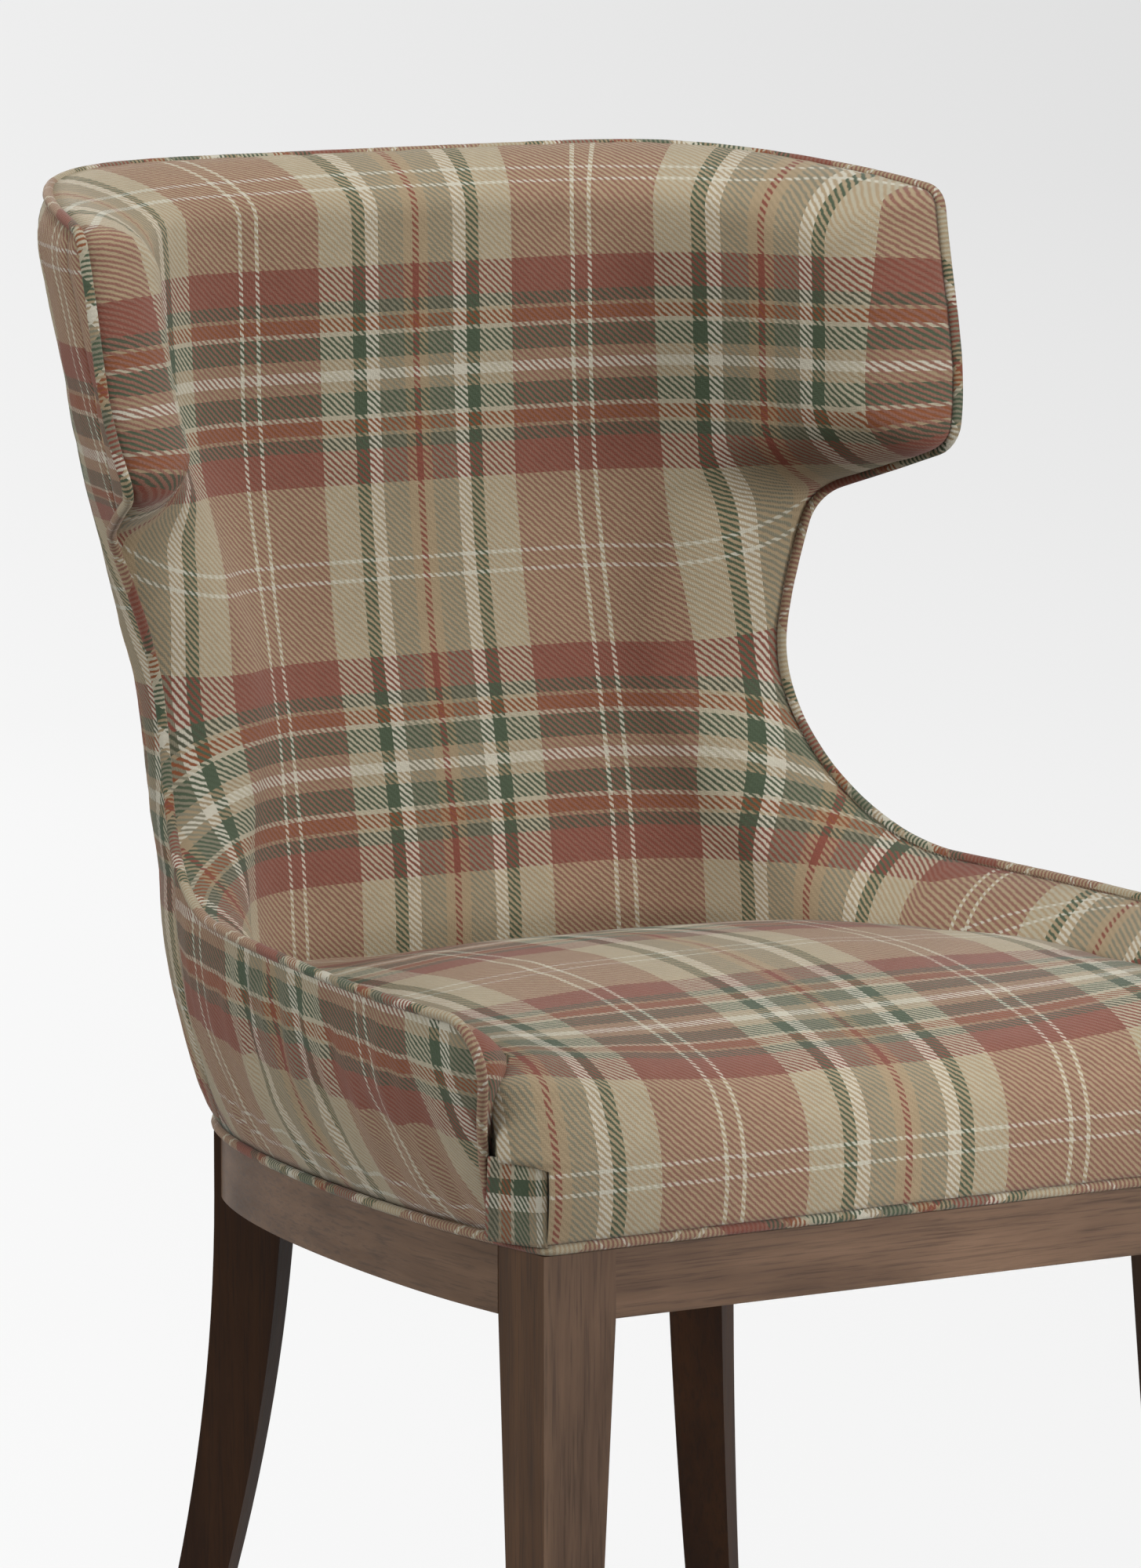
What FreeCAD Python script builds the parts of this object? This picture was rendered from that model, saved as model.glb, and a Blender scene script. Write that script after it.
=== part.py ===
import FreeCAD, Part
import math
import os

# Upholstered fireside chair with wings, a waisted back, low arms and a crowned seat.
# Millimetres. X runs across the chair, Y from front to back, Z up from the floor.
# The origin is on the floor, midway between the feet's outermost points.

doc = FreeCAD.newDocument("FiresideChair")
sheet = doc.addObject("Spreadsheet::Sheet", "Sizes")

# Driving dimensions: alias, value in millimetres or a plain ratio, and what it is
SIZES = [
    # wooden base
    ("rail_top", 350.0, "floor to the top of the seat rails"),
    ("rail_depth", 41.5, "height of the seat rails"),
    ("rail_thickness", 24.0, "seat rails, outside to inside"),
    ("front_half_width", 253.5, "middle to the outer side of a front leg"),
    ("side_bow", 2.5, "how far the side rails bow out past the front legs"),
    ("widest_at", 110.0, "front edge to the widest place of the base"),
    ("frame_length", 556.0, "front edge to the back of the rear rail"),
    ("front_leg_size", 50.0, "front leg, square at the top"),
    ("front_foot_size", 34.0, "front leg, square at the floor"),
    ("rear_leg_width", 38.0, "rear leg across its curve"),
    ("rear_leg_depth", 44.0, "rear leg along its curve"),
    ("rear_foot_size", 29.0, "rear leg, square at the floor"),
    ("rear_leg_side", 167.0, "middle to the rear leg's centre"),
    ("rear_leg_back", 474.0, "front edge to the rear leg's centre"),
    ("rear_leg_splay", 48.0, "how far the rear foot swings out along the diagonal"),
    ("rear_leg_straight", 0.2, "share of the swing that is even, the rest is curved"),
    ("glide_height", 4.0, "nylon glide under a foot"),
    ("glide_radius", 11.0, "nylon glide"),
    ("block_reach", 62.0, "corner block along each rail, past the leg"),
    ("block_height", 34.0, "corner block"),
    ("rear_block_depth", 31.0, "rear corner block, along the diagonal"),
    ("rear_block_back", 40.3, "half the rear corner block's free side, past the leg"),
    ("bolt_radius", 4.0, "hanger bolt through a corner block"),
    ("bolt_in_leg", 26.0, "hanger bolt's length inside a leg"),
    ("nut_across", 13.0, "nut on a hanger bolt"),
    ("nut_height", 6.5, "nut on a hanger bolt"),
    ("dowel_radius", 4.0, "rail dowel"),
    ("dowel_half", 16.0, "rail dowel, length in each piece"),
    ("dowel_pitch", 18.0, "between the two dowels of a joint"),
    ("hole_gap", 0.15, "radial room round bolts and dowels"),
    ("dust_sheet", 0.8, "thickness of the dust cover"),
    ("dust_inset", 6.0, "rail's outside to the edge of the dust cover"),
    ("strap_width", 50.0, "seat webbing"),
    ("strap_thickness", 1.5, "seat webbing"),
    ("strap_inset", 10.0, "rail's outside to the end of a seat strap"),
    ("strap_pitch_across", 85.0, "between the straps that run from front to back"),
    ("strap_pitch_along", 77.5, "between the straps that run across"),
    ("strap_start", 150.0, "front edge to the first strap across"),
    # plan of the upholstered shell at levels above the rails
    ("flank_level", 70.0, "rail top to the flank level, low on the arm"),
    ("arm_level", 150.0, "rail top to the arm level"),
    ("waist_level", 290.0, "rail top to the waist level"),
    ("wing_level", 440.0, "rail top to the wing level"),
    ("brow_level", 530.0, "rail top to one more section of the shell"),
    ("crown_level", 600.0, "rail top to the top of the back"),
    ("flank_half_width", 288.0, "middle to the outside at the flank level"),
    ("arm_half_width", 300.0, "the same at the arm level"),
    ("waist_half_width", 289.0, "the same, of the waist's outline"),
    ("wing_half_width", 347.0, "the same, of the wings' outline"),
    ("crown_half_width", 368.0, "the same, of the top's outline"),
    ("flank_lean", 5.0, "how far the back leans out at the flank level"),
    ("arm_lean", 10.0, "the same at the arm level"),
    ("waist_lean", 38.0, "the same at the waist level"),
    ("wing_lean", 50.0, "the same at the wing level"),
    ("crown_lean", 46.0, "the same at the top"),
    ("base_corner", 4.4, "how square the base outline is"),
    ("crown_corner", 6.6, "how square the top outline is"),
    ("base_taper", 1.64, "how evenly the base outline draws in"),
    ("crown_taper", 1.15, "how evenly the top outline draws in"),
    # thickness of the upholstered shell
    ("arm_thickness", 42.0, "arm, outside to inside"),
    ("wing_thickness", 56.0, "wing, outside to inside"),
    ("back_thickness", 62.0, "back at the seat, outside to inside"),
    ("crown_thickness", 48.0, "back at the top, outside to inside"),
    # edge of the shell seen from the side
    ("arm_setback", 47.0, "front edge to the foot of the arm's front"),
    ("arm_nose", -5.0, "front edge to the arm's nose, forwards is negative"),
    ("arm_nose_height", 137.0, "rail top to the arm's nose corner"),
    ("arm_rear", 472.0, "front edge to where arm and back lines meet"),
    ("arm_rear_height", 158.0, "rail top to where arm and back lines meet"),
    ("waist_reach", 487.0, "front edge to the waist"),
    ("waist_top_height", 378.0, "rail top to the top of the waist"),
    ("wing_reach", 388.0, "front edge to the wing's lower corner"),
    ("wing_low_height", 414.0, "rail top to the wing's lower corner"),
    ("wing_top_reach", 425.0, "front edge to the wing's upper corner"),
    ("wing_top_height", 571.0, "rail top to the wing's upper corner"),
    ("top_rise", 22.0, "wing's upper corner to the top line above the back"),
    ("arm_nose_round", 30.0, "rounding of the arm's nose"),
    ("arm_rear_round", 150.0, "sweep from the arm to the back"),
    ("waist_round", 26.0, "rounding above the waist"),
    ("wing_low_round", 14.0, "rounding of the wing's lower corner"),
    ("wing_top_round", 14.0, "rounding of the wing's upper corner"),
    ("welt_diameter", 6.6, "piped cord"),
    ("edge_wrap", 13.0, "how far the padding wraps past the frame's edge"),
    ("soft_gap", 0.3, "room between soft pieces and their neighbours"),
    # seat
    ("seat_front_height", 100.0, "rail top to the seat's front shoulder"),
    ("seat_crown_height", 143.0, "rail top to the seat's crown"),
    ("seat_back_height", 118.0, "rail top to the back of the seat"),
    ("seat_side_drop", 36.0, "crown to the seat's sides"),
    ("seat_front_bulge", 5.0, "how far the seat's front stands proud of the rail"),
    ("seat_front_round", 42.0, "rounding of the seat's front"),
    ("foam_inset", 62.0, "rail's outside to the side of the foam core"),
    ("foam_front", 34.0, "front edge to the foam core"),
    ("foam_length", 400.0, "foam core, front to back"),
    ("foam_height", 62.0, "foam core"),
    # frame of the back
    ("post_inner", 168.0, "middle to the inner side of a back post"),
    ("post_outer", 224.0, "middle to the outer side of a back post"),
    ("back_rail_height", 46.0, "rails of the back"),
    ("back_rail_low", 92.0, "rail top to the back's lower rail"),
    ("arm_board_height", 40.0, "arm board"),
    ("wing_board_height", 88.0, "wing board"),
    ("wing_board_rise", 25.0, "wing's lower corner to the wing board"),
    ("front_post_depth", 62.0, "arm's front post, from front to back"),
    ("back_strap", 46.0, "back webbing"),
    ("back_strap_pitch", 88.0, "between the straps of the back"),
]
for row, (alias, value, note) in enumerate(SIZES, start=1):
    sheet.set("A%d" % row, alias)
    sheet.set("B%d" % row, str(value))
    sheet.set("C%d" % row, note)
    sheet.setAlias("B%d" % row, alias)
doc.recompute()


def size(alias):
    return float(sheet.get(alias))


NODES = []


def bind(item, **expressions):
    for name, expression in expressions.items():
        item.setExpression(name.replace("__", "."), expression)
    return item


def node(item, label):
    item.Label = label
    NODES.append(item)
    return item


def feature(name, shape):
    item = doc.addObject("Part::Feature", name)
    item.Shape = shape
    return item


def cut(name, base, tool):
    item = doc.addObject("Part::Cut", name)
    item.Base = base
    item.Tool = tool
    return item


def group(name, items):
    item = doc.addObject("Part::Compound", name)
    item.Links = items
    return item


def box(name, length, width, height, across, along, up):
    item = doc.addObject("Part::Box", name)
    bind(item, Length=length, Width=width, Height=height)
    return bind(item, Placement__Base__x=across, Placement__Base__y=along, Placement__Base__z=up)


# Outline of the shell: a squared oval whose corners and taper change with height

FRONT_ANGLE = -27.0
STEPS = 15
OVERSHOOT = 16.0
SHEET = "Sizes."

rail_top = size("rail_top")
widest_at = size("widest_at")
ZONES = ("flank", "arm", "waist", "wing", "crown")
LEVELS = [0.0] + [size(zone + "_level") for zone in ZONES]
base_half_width = size("front_half_width") + size("side_bow")
HALF_WIDTHS = [base_half_width] + [size(zone + "_half_width") for zone in ZONES]
LEANS = [0.0] + [size(zone + "_lean") for zone in ZONES]
SIDE_THICKNESS = [size("arm_thickness")] * 3 + [size("wing_thickness")] * 3
BACK_THICKNESS = [size("back_thickness")] * 4 + [size("wing_thickness"), size("crown_thickness")]


def level_value(values, height):
    """Value at a height above the rails, straight between the levels and on past the ends."""
    low = 0
    while low < len(LEVELS) - 2 and height > LEVELS[low + 1]:
        low += 1
    share = (height - LEVELS[low]) / (LEVELS[low + 1] - LEVELS[low])
    return values[low] + share * (values[low + 1] - values[low])


def outline(height, depth_share, out=0.0):
    """Half-width, rear, corner and taper of the plan at a height and a share of the thickness."""
    half_width = level_value(HALF_WIDTHS, height) - depth_share * level_value(SIDE_THICKNESS, height) + out
    rear = size("frame_length") + level_value(LEANS, height)
    rear = rear - depth_share * level_value(BACK_THICKNESS, height) + out
    rise = height / LEVELS[-1]
    corner = size("base_corner") + rise * (size("crown_corner") - size("base_corner"))
    taper = size("base_taper") + rise * (size("crown_taper") - size("base_taper"))
    return half_width, rear, corner, taper


def outline_wire(height, depth_share, out=0.0):
    """Closed plan at a height: the squared oval round the back, and a straight front."""
    half_width, rear, corner, taper = outline(height, depth_share, out)
    z = rail_top + height
    half = []
    for step in range(STEPS + 1):
        angle = math.radians(FRONT_ANGLE + (90.0 - FRONT_ANGLE) * step / STEPS)
        x = half_width * max(math.cos(angle), 0.0) ** (2.0 / corner)
        reach = math.copysign(abs(math.sin(angle)) ** (2.0 / taper), angle)
        if step == STEPS:
            x = 0.0
        half.append((x, widest_at + (rear - widest_at) * reach))
    points = [FreeCAD.Vector(-x, y, z) for x, y in half]
    points += [FreeCAD.Vector(x, y, z) for x, y in reversed(half[:-1])]
    curve = Part.BSplineCurve()
    curve.interpolate(points)
    return Part.Wire([curve.toShape(), Part.LineSegment(points[-1], points[0]).toShape()])


def shell_solid(depth_share, out=0.0):
    """Solid inside the shell's surface at a share of its thickness, from below the rails to the top."""
    heights = [-OVERSHOOT] + LEVELS[1:-1] + [size("brow_level"), LEVELS[-1] + OVERSHOOT]
    sections = [outline_wire(height, depth_share, out) for height in heights]
    return Part.makeLoft(sections, True, False)


# Side profile: everything behind the welted edge, as a slab across the chair

def rounded_wire(corners, x):
    """Closed wire in a plane across X, from corners (y, z, radius)."""
    count = len(corners)
    starts, ends, mids = [], [], []
    for index in range(count):
        y, z, radius = corners[index]
        here = FreeCAD.Vector(x, y, z)
        before = FreeCAD.Vector(x, corners[index - 1][0], corners[index - 1][1])
        after = FreeCAD.Vector(x, corners[(index + 1) % count][0], corners[(index + 1) % count][1])
        to_before = (before - here).normalize()
        to_after = (after - here).normalize()
        half_angle = to_before.getAngle(to_after) / 2.0
        if radius <= 0.0:
            starts.append(here)
            ends.append(here)
            mids.append(None)
            continue
        reach = radius / math.tan(half_angle)
        middle = (to_before + to_after).normalize()
        centre = here + middle * (radius / math.sin(half_angle))
        starts.append(here + to_before * reach)
        ends.append(here + to_after * reach)
        mids.append(centre - middle * radius)
    edges = []
    for index in range(count):
        if mids[index] is not None:
            edges.append(Part.Arc(starts[index], mids[index], ends[index]).toShape())
        following = starts[(index + 1) % count]
        if (following - ends[index]).Length > 0.001:
            edges.append(Part.LineSegment(ends[index], following).toShape())
    return Part.Wire(edges)


HALF_SPAN = 450.0
FAR_BACK = 720.0


def profile_corners(bottom):
    """Corners (y, z, radius) of the region behind the welted edge, from the arm's foot upwards."""
    wing_top = size("wing_top_height")
    foot_slope = (size("arm_setback") - size("arm_nose")) / size("arm_nose_height")
    return [
        (size("arm_setback") - foot_slope * bottom, rail_top + bottom, 0.0),
        (size("arm_nose"), rail_top + size("arm_nose_height"), size("arm_nose_round")),
        (size("arm_rear"), rail_top + size("arm_rear_height"), size("arm_rear_round")),
        (size("waist_reach"), rail_top + size("waist_top_height"), size("waist_round")),
        (size("wing_reach"), rail_top + size("wing_low_height"), size("wing_low_round")),
        (size("wing_top_reach"), rail_top + wing_top, size("wing_top_round")),
        (size("frame_length"), rail_top + wing_top + size("top_rise"), 0.0),
        (size("frame_length") + size("crown_lean"), rail_top + size("crown_level"), 0.0),
        (FAR_BACK, rail_top + size("crown_level"), 0.0),
        (FAR_BACK, rail_top + bottom, 0.0),
    ]


def profile_slab(inset, bottom):
    """The region behind the welted edge, drawn in by an inset, cut off at a height above the rails."""
    wire = rounded_wire(profile_corners(-150.0), -HALF_SPAN)
    if inset:
        wire = wire.makeOffset2D(-inset)
    slab = Part.Face(wire).extrude(FreeCAD.Vector(2.0 * HALF_SPAN, 0, 0))
    room = Part.makeBox(2.0 * HALF_SPAN, 2.0 * FAR_BACK, 2.0 * FAR_BACK)
    room.translate(FreeCAD.Vector(-HALF_SPAN, -FAR_BACK, rail_top + bottom))
    return slab.common(room)


def span_box(x_low, x_high, y_low, y_high, z_low, z_high):
    shape = Part.makeBox(x_high - x_low, y_high - y_low, z_high - z_low)
    shape.translate(FreeCAD.Vector(x_low, y_low, z_low))
    return shape


def mirrored(shape):
    return shape.mirror(FreeCAD.Vector(0, 0, 0), FreeCAD.Vector(1, 0, 0))


# Wooden base

rail_low = rail_top - size("rail_depth")
rail_thickness = size("rail_thickness")
leg_size = size("front_leg_size")
front_half_width = size("front_half_width")


def base_prism(inset, front, low, high):
    """Prism of the base outline, drawn in by an inset, cut straight at the front."""
    face = Part.Face(outline_wire(0.0, 0.0, -inset))
    face.translate(FreeCAD.Vector(0, 0, low - rail_top))
    prism = face.extrude(FreeCAD.Vector(0, 0, high - low))
    room = span_box(-HALF_SPAN, HALF_SPAN, front, FAR_BACK, low - 1.0, high + 1.0)
    return prism.common(room)


diagonal = FreeCAD.Vector(math.sqrt(0.5), math.sqrt(0.5), 0)
rear_leg_centre = FreeCAD.Vector(size("rear_leg_side"), size("rear_leg_back"), 0)


def turned_rectangle(centre, along, across, z):
    """Closed rectangle in plan, its long side along the diagonal of the right rear corner."""
    sideways = FreeCAD.Vector(diagonal.y, -diagonal.x, 0)
    middle = FreeCAD.Vector(centre.x, centre.y, z)
    corners = []
    for out, side in ((1, 1), (1, -1), (-1, -1), (-1, 1), (1, 1)):
        corners.append(middle + diagonal * (out * along / 2.0) + sideways * (side * across / 2.0))
    return Part.makePolygon(corners)


def rear_leg_shape():
    """Sabre leg: straight beside the rails, then curving out to the foot along the diagonal."""
    depth = size("rear_leg_depth")
    width = size("rear_leg_width")
    head = Part.Face(turned_rectangle(rear_leg_centre, depth, width, rail_low))
    head = head.extrude(FreeCAD.Vector(0, 0, size("rail_depth")))
    drop = rail_low - size("glide_height")
    sections = []
    sections_count = 6
    straight_share = size("rear_leg_straight")
    for step in range(sections_count + 1):
        share = step / float(sections_count)
        swing = size("rear_leg_splay") * (straight_share * share + (1.0 - straight_share) * share ** 2)
        along = depth + share * (size("rear_foot_size") - depth)
        across = width + share * (size("rear_foot_size") - width)
        middle = rear_leg_centre + diagonal * swing
        sections.append(turned_rectangle(middle, along, across, rail_low - share * drop))
    return head.fuse(Part.makeLoft(sections, True, False)).removeSplitter()


rear_leg_head = Part.Face(
    turned_rectangle(rear_leg_centre, size("rear_leg_depth"), size("rear_leg_width"), rail_low)
).extrude(FreeCAD.Vector(0, 0, size("rail_depth")))

rails_ring = base_prism(0.0, 0.0, rail_low, rail_top)
rails_ring = rails_ring.cut(base_prism(rail_thickness, rail_thickness, rail_low - 1.0, rail_top + 1.0))
rails_ring = rails_ring.cut(rear_leg_head).cut(mirrored(rear_leg_head))
rear_split = size("rear_leg_side")


def solid_nearest(shape, x, y):
    point = FreeCAD.Vector(x, y, (rail_top + rail_low) / 2.0)
    return min(shape.Solids, key=lambda solid: (solid.BoundBox.Center - point).Length)


# Dowel holes run from the front legs into the front rail and into the side rails
dowel_spots = []
for dowel_side in (-1, 1):
    for dowel_row in (-0.5, 0.5):
        dowel_z = (rail_top + rail_low) / 2.0 + dowel_row * size("dowel_pitch")
        joint_x = dowel_side * (front_half_width - leg_size)
        dowel_spots.append((FreeCAD.Vector(joint_x, rail_thickness / 2.0, dowel_z), FreeCAD.Vector(1, 0, 0)))
        joint_x = dowel_side * (front_half_width - rail_thickness / 2.0)
        dowel_spots.append((FreeCAD.Vector(joint_x, leg_size, dowel_z), FreeCAD.Vector(0, 1, 0)))


def rods(spots, radius, half_length):
    shapes = []
    for centre, direction in spots:
        start = centre - direction * half_length
        shapes.append(Part.makeCylinder(radius, 2.0 * half_length, start, direction))
    return shapes


dowel_holes = rods(dowel_spots, size("dowel_radius") + size("hole_gap"), size("dowel_half") + 1.0)

# Hanger bolts lie on the diagonals through the corner blocks into the legs
block_low = rail_top - (size("rail_depth") + size("block_height")) / 2.0
block_high = block_low + size("block_height")
bolt_z = (rail_top + rail_low) / 2.0
front_inner_corner = FreeCAD.Vector(front_half_width - leg_size, leg_size, bolt_z)
front_bolt_way = FreeCAD.Vector(-diagonal.x, diagonal.y, 0)
rear_inner_face = rear_leg_centre - diagonal * (size("rear_leg_depth") / 2.0)
rear_inner_face = FreeCAD.Vector(rear_inner_face.x, rear_inner_face.y, bolt_z)
rear_bolt_way = diagonal * -1.0
block_reach = size("block_reach")
front_block_depth = block_reach * math.sqrt(0.5)
rear_block_depth = size("rear_block_depth")


def bolt_spot(start, way, block_depth):
    """Centre line of one bolt: its inner end, its direction and its length."""
    in_leg = size("bolt_in_leg")
    stand_out = size("nut_height") + 3.0
    return start - way * in_leg, way, in_leg + block_depth + stand_out


BOLTS = []
for start_point, bolt_way, block_depth in (
    (front_inner_corner, front_bolt_way, front_block_depth),
    (rear_inner_face, rear_bolt_way, rear_block_depth),
):
    BOLTS.append((bolt_spot(start_point, bolt_way, block_depth), start_point + bolt_way * block_depth))


def bolt_rods(radius, longer):
    shapes = []
    for (start, way, length), nut_seat in BOLTS:
        rod = Part.makeCylinder(radius, length + longer, start - way * longer, way)
        shapes.extend([rod, mirrored(rod)])
    return shapes


bolt_holes = bolt_rods(size("bolt_radius") + size("hole_gap"), 1.0)


def with_holes(name, shape, holes):
    """A wooden piece with its holes: the blank and the holes stay as objects of their own."""
    blank = feature(name + "_blank", shape)
    drilled = feature(name + "_holes", Part.makeCompound(holes))
    return cut(name + "_cut", blank, drilled)


front_rail_blank = box(
    "front_rail_blank",
    "2 * (" + SHEET + "front_half_width - " + SHEET + "front_leg_size)",
    SHEET + "rail_thickness",
    SHEET + "rail_depth",
    SHEET + "front_leg_size - " + SHEET + "front_half_width",
    "0",
    SHEET + "rail_top - " + SHEET + "rail_depth",
)
front_rail_holes = feature("front_rail_holes", Part.makeCompound(dowel_holes))
node(cut("front_rail_cut", front_rail_blank, front_rail_holes), "front_rail")

side_zone = span_box(-HALF_SPAN, 0, leg_size, size("rear_leg_back") + 8.0, rail_low - 1.0, rail_top + 1.0)
left_side = solid_nearest(rails_ring.common(side_zone), -base_half_width, widest_at)
node(with_holes("left_side_rail", left_side, dowel_holes), "left_side_rail")
node(with_holes("right_side_rail", mirrored(left_side), dowel_holes), "right_side_rail")

rear_zone = span_box(-rear_split, rear_split, size("rear_leg_back"), FAR_BACK, rail_low - 1.0, rail_top + 1.0)
rear_piece = solid_nearest(rails_ring.common(rear_zone), 0.0, size("frame_length"))
node(feature("rear_rail_piece", rear_piece), "rear_rail")


def front_leg_shape():
    """Right front leg: a square head beside the rails, tapering on its inner faces to the foot."""
    half = front_half_width
    foot = size("front_foot_size")

    def square(edge, z):
        corners = [(half, 0.0), (half - edge, 0.0), (half - edge, edge), (half, edge), (half, 0.0)]
        return Part.makePolygon([FreeCAD.Vector(x, y, z) for x, y in corners])

    head = Part.Face(square(leg_size, rail_low)).extrude(FreeCAD.Vector(0, 0, size("rail_depth")))
    shaft = Part.makeLoft([square(foot, size("glide_height")), square(leg_size, rail_low)], True, True)
    return head.fuse(shaft).removeSplitter()


front_leg_right = front_leg_shape()
node(with_holes("front_left_leg", mirrored(front_leg_right), dowel_holes + bolt_holes), "front_left_leg")
node(with_holes("front_right_leg", front_leg_right, dowel_holes + bolt_holes), "front_right_leg")
rear_leg_right = rear_leg_shape()
node(with_holes("rear_left_leg", mirrored(rear_leg_right), bolt_holes), "rear_left_leg")
node(with_holes("rear_right_leg", rear_leg_right, bolt_holes), "rear_right_leg")


def prism(points, low, high):
    wire = Part.makePolygon([FreeCAD.Vector(x, y, low) for x, y in points + points[:1]])
    return Part.Face(wire).extrude(FreeCAD.Vector(0, 0, high - low))


# Corner blocks fill each corner behind its leg and are cut to the curve of the rails
legs_head = span_box(front_half_width - leg_size, front_half_width, 0, leg_size, rail_low, rail_top)
inner_x = front_half_width - leg_size
front_block = prism([
    (inner_x - block_reach, rail_thickness),
    (front_half_width, rail_thickness),
    (front_half_width, leg_size + block_reach),
    (inner_x + leg_size - rail_thickness, leg_size + block_reach),
], block_low, block_high)
front_block = front_block.cut(legs_head).cut(rails_ring)
front_block = max(front_block.Solids, key=lambda solid: solid.Volume)

rear_across = FreeCAD.Vector(diagonal.y, -diagonal.x, 0)
rear_block_corners = []
rear_block_sides = (-1.0, block_reach), (1.0, block_reach), (1.0, size("rear_block_back"))
for inward, (sideways, reach_past) in zip((0.0, 0.0, 1.0, 1.0), rear_block_sides + (
        (-1.0, size("rear_block_back")),)):
    spot = rear_inner_face - diagonal * (inward * rear_block_depth)
    spot = spot + rear_across * (sideways * (size("rear_leg_width") / 2.0 + reach_past))
    rear_block_corners.append((spot.x, spot.y))
rear_block = prism(rear_block_corners, block_low, block_high).cut(rails_ring)
rear_block = rear_block.common(base_prism(rail_thickness, rail_thickness, rail_low, rail_top))
rear_block = max(rear_block.Solids, key=lambda solid: solid.Volume)
for block_name, block_shape in (
    ("front_right_corner_block", front_block),
    ("front_left_corner_block", mirrored(front_block)),
    ("rear_right_corner_block", rear_block),
    ("rear_left_corner_block", mirrored(rear_block)),
):
    node(with_holes(block_name, block_shape, bolt_holes), block_name)

node(feature("leg_bolts_group", Part.makeCompound(bolt_rods(size("bolt_radius"), 0.0))), "leg_bolts")

nuts = []
for (start, way, length), nut_seat in BOLTS:
    hexagon = []
    up = FreeCAD.Vector(0, 0, 1)
    beside = way.cross(up)
    for turn in range(7):
        angle = math.radians(60.0 * turn)
        radius = size("nut_across") / math.sqrt(3.0)
        hexagon.append(nut_seat + beside * (radius * math.cos(angle)) + up * (radius * math.sin(angle)))
    nut = Part.Face(Part.makePolygon(hexagon)).extrude(way * size("nut_height"))
    bore = Part.makeCylinder(size("bolt_radius") + size("hole_gap"), length, start, way)
    nut = nut.cut(bore)
    nuts.extend([nut, mirrored(nut)])
node(feature("leg_nuts_group", Part.makeCompound(nuts)), "leg_nuts")
node(
    feature("rail_dowels_group",
            Part.makeCompound(rods(dowel_spots, size("dowel_radius"), size("dowel_half")))),
    "rail_dowels",
)

# Nylon glides, one under each foot
glides = []
front_foot_centre = front_half_width - size("front_foot_size") / 2.0
rear_foot_centre = rear_leg_centre + diagonal * size("rear_leg_splay")
for glide_side in (-1, 1):
    for glide_index, (foot_x, foot_y) in enumerate((
        (front_foot_centre, size("front_foot_size") / 2.0),
        (rear_foot_centre.x, rear_foot_centre.y),
    )):
        glide = doc.addObject("Part::Cylinder", "glide_%d_%d" % (glide_side + 1, glide_index))
        bind(glide, Radius=SHEET + "glide_radius", Height=SHEET + "glide_height")
        glide.Placement = FreeCAD.Placement(
            FreeCAD.Vector(glide_side * foot_x, foot_y, 0), FreeCAD.Rotation())
        glides.append(glide)
node(group("foot_glides_group", glides), "foot_glides")

# Dust cover under the rails, cut round the legs
dust_low = rail_low - size("dust_sheet")
dust = base_prism(size("dust_inset"), size("dust_inset"), dust_low, rail_low)
leg_room = 1.0
leg_zone = span_box(inner_x - leg_room, HALF_SPAN, -leg_room, leg_size + leg_room, dust_low - 1, rail_low + 1)
rear_zone = Part.Face(turned_rectangle(
    rear_leg_centre, size("rear_leg_depth") + 2 * leg_room + size("dust_inset") * 2,
    size("rear_leg_width") + 2 * leg_room, dust_low - 1.0)).extrude(FreeCAD.Vector(0, 0, 3.0))
for zone in (leg_zone, rear_zone):
    dust = dust.cut(zone).cut(mirrored(zone))
node(feature("dust_sheet_piece", dust), "dust_cover")

# Seat webbing: straps from front to back, and straps across that lie on them
strap = size("strap_thickness")
strap_inset = size("strap_inset")
strap_half = size("strap_width") / 2.0
straps_along = []
straps_across = []
strap_rows = 4
strap_area = base_prism(strap_inset, strap_inset, rail_top - 1.0, rail_top + 20.0)
for strap_row in range(strap_rows):
    strap_x = (strap_row - (strap_rows - 1) / 2.0) * size("strap_pitch_across")
    strip = span_box(strap_x - strap_half, strap_x + strap_half, 0, FAR_BACK, rail_top, rail_top + strap)
    straps_along.append(strip.common(strap_area))
    strap_y = size("strap_start") + strap_row * size("strap_pitch_along")
    strip = span_box(-HALF_SPAN, HALF_SPAN, strap_y - strap_half, strap_y + strap_half,
                     rail_top + strap, rail_top + 2 * strap)
    straps_across.append(strip.common(strap_area))
node(feature("webbing_along_group", Part.makeCompound(straps_along)), "seat_webbing_lengthwise")
node(feature("webbing_across_group", Part.makeCompound(straps_across)), "seat_webbing_crosswise")

# Piped cord round the base, on the joint between the upholstery and the rails
soft_gap = size("soft_gap")
welt = size("welt_diameter")
welt_low = rail_top + soft_gap
welt_high = welt_low + welt
base_welt = base_prism(-welt / 2.0, -welt / 2.0, welt_low, welt_high)
base_welt = base_welt.cut(base_prism(welt / 2.0, welt / 2.0, welt_low - 1.0, welt_high + 1.0))
node(feature("base_welt_ring", base_welt), "base_welt")

# Upholstered shell: layers between surfaces at set shares of its thickness
COVER_SHARE = 0.10
PAD_START = 0.107
FRAME_START = 0.112
FRAME_END = 0.495
STRAP_END = 0.528
PAD_INNER_START = 0.534
LINING_START = 0.94
soft_bottom = welt_high - rail_top + soft_gap

surface = {}
for share in (0.0, COVER_SHARE, PAD_START, FRAME_START, FRAME_END, STRAP_END, PAD_INNER_START,
              LINING_START - 0.006, LINING_START, 1.0):
    surface[share] = shell_solid(share)
edge_profile = profile_slab(0.0, soft_bottom)


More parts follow.
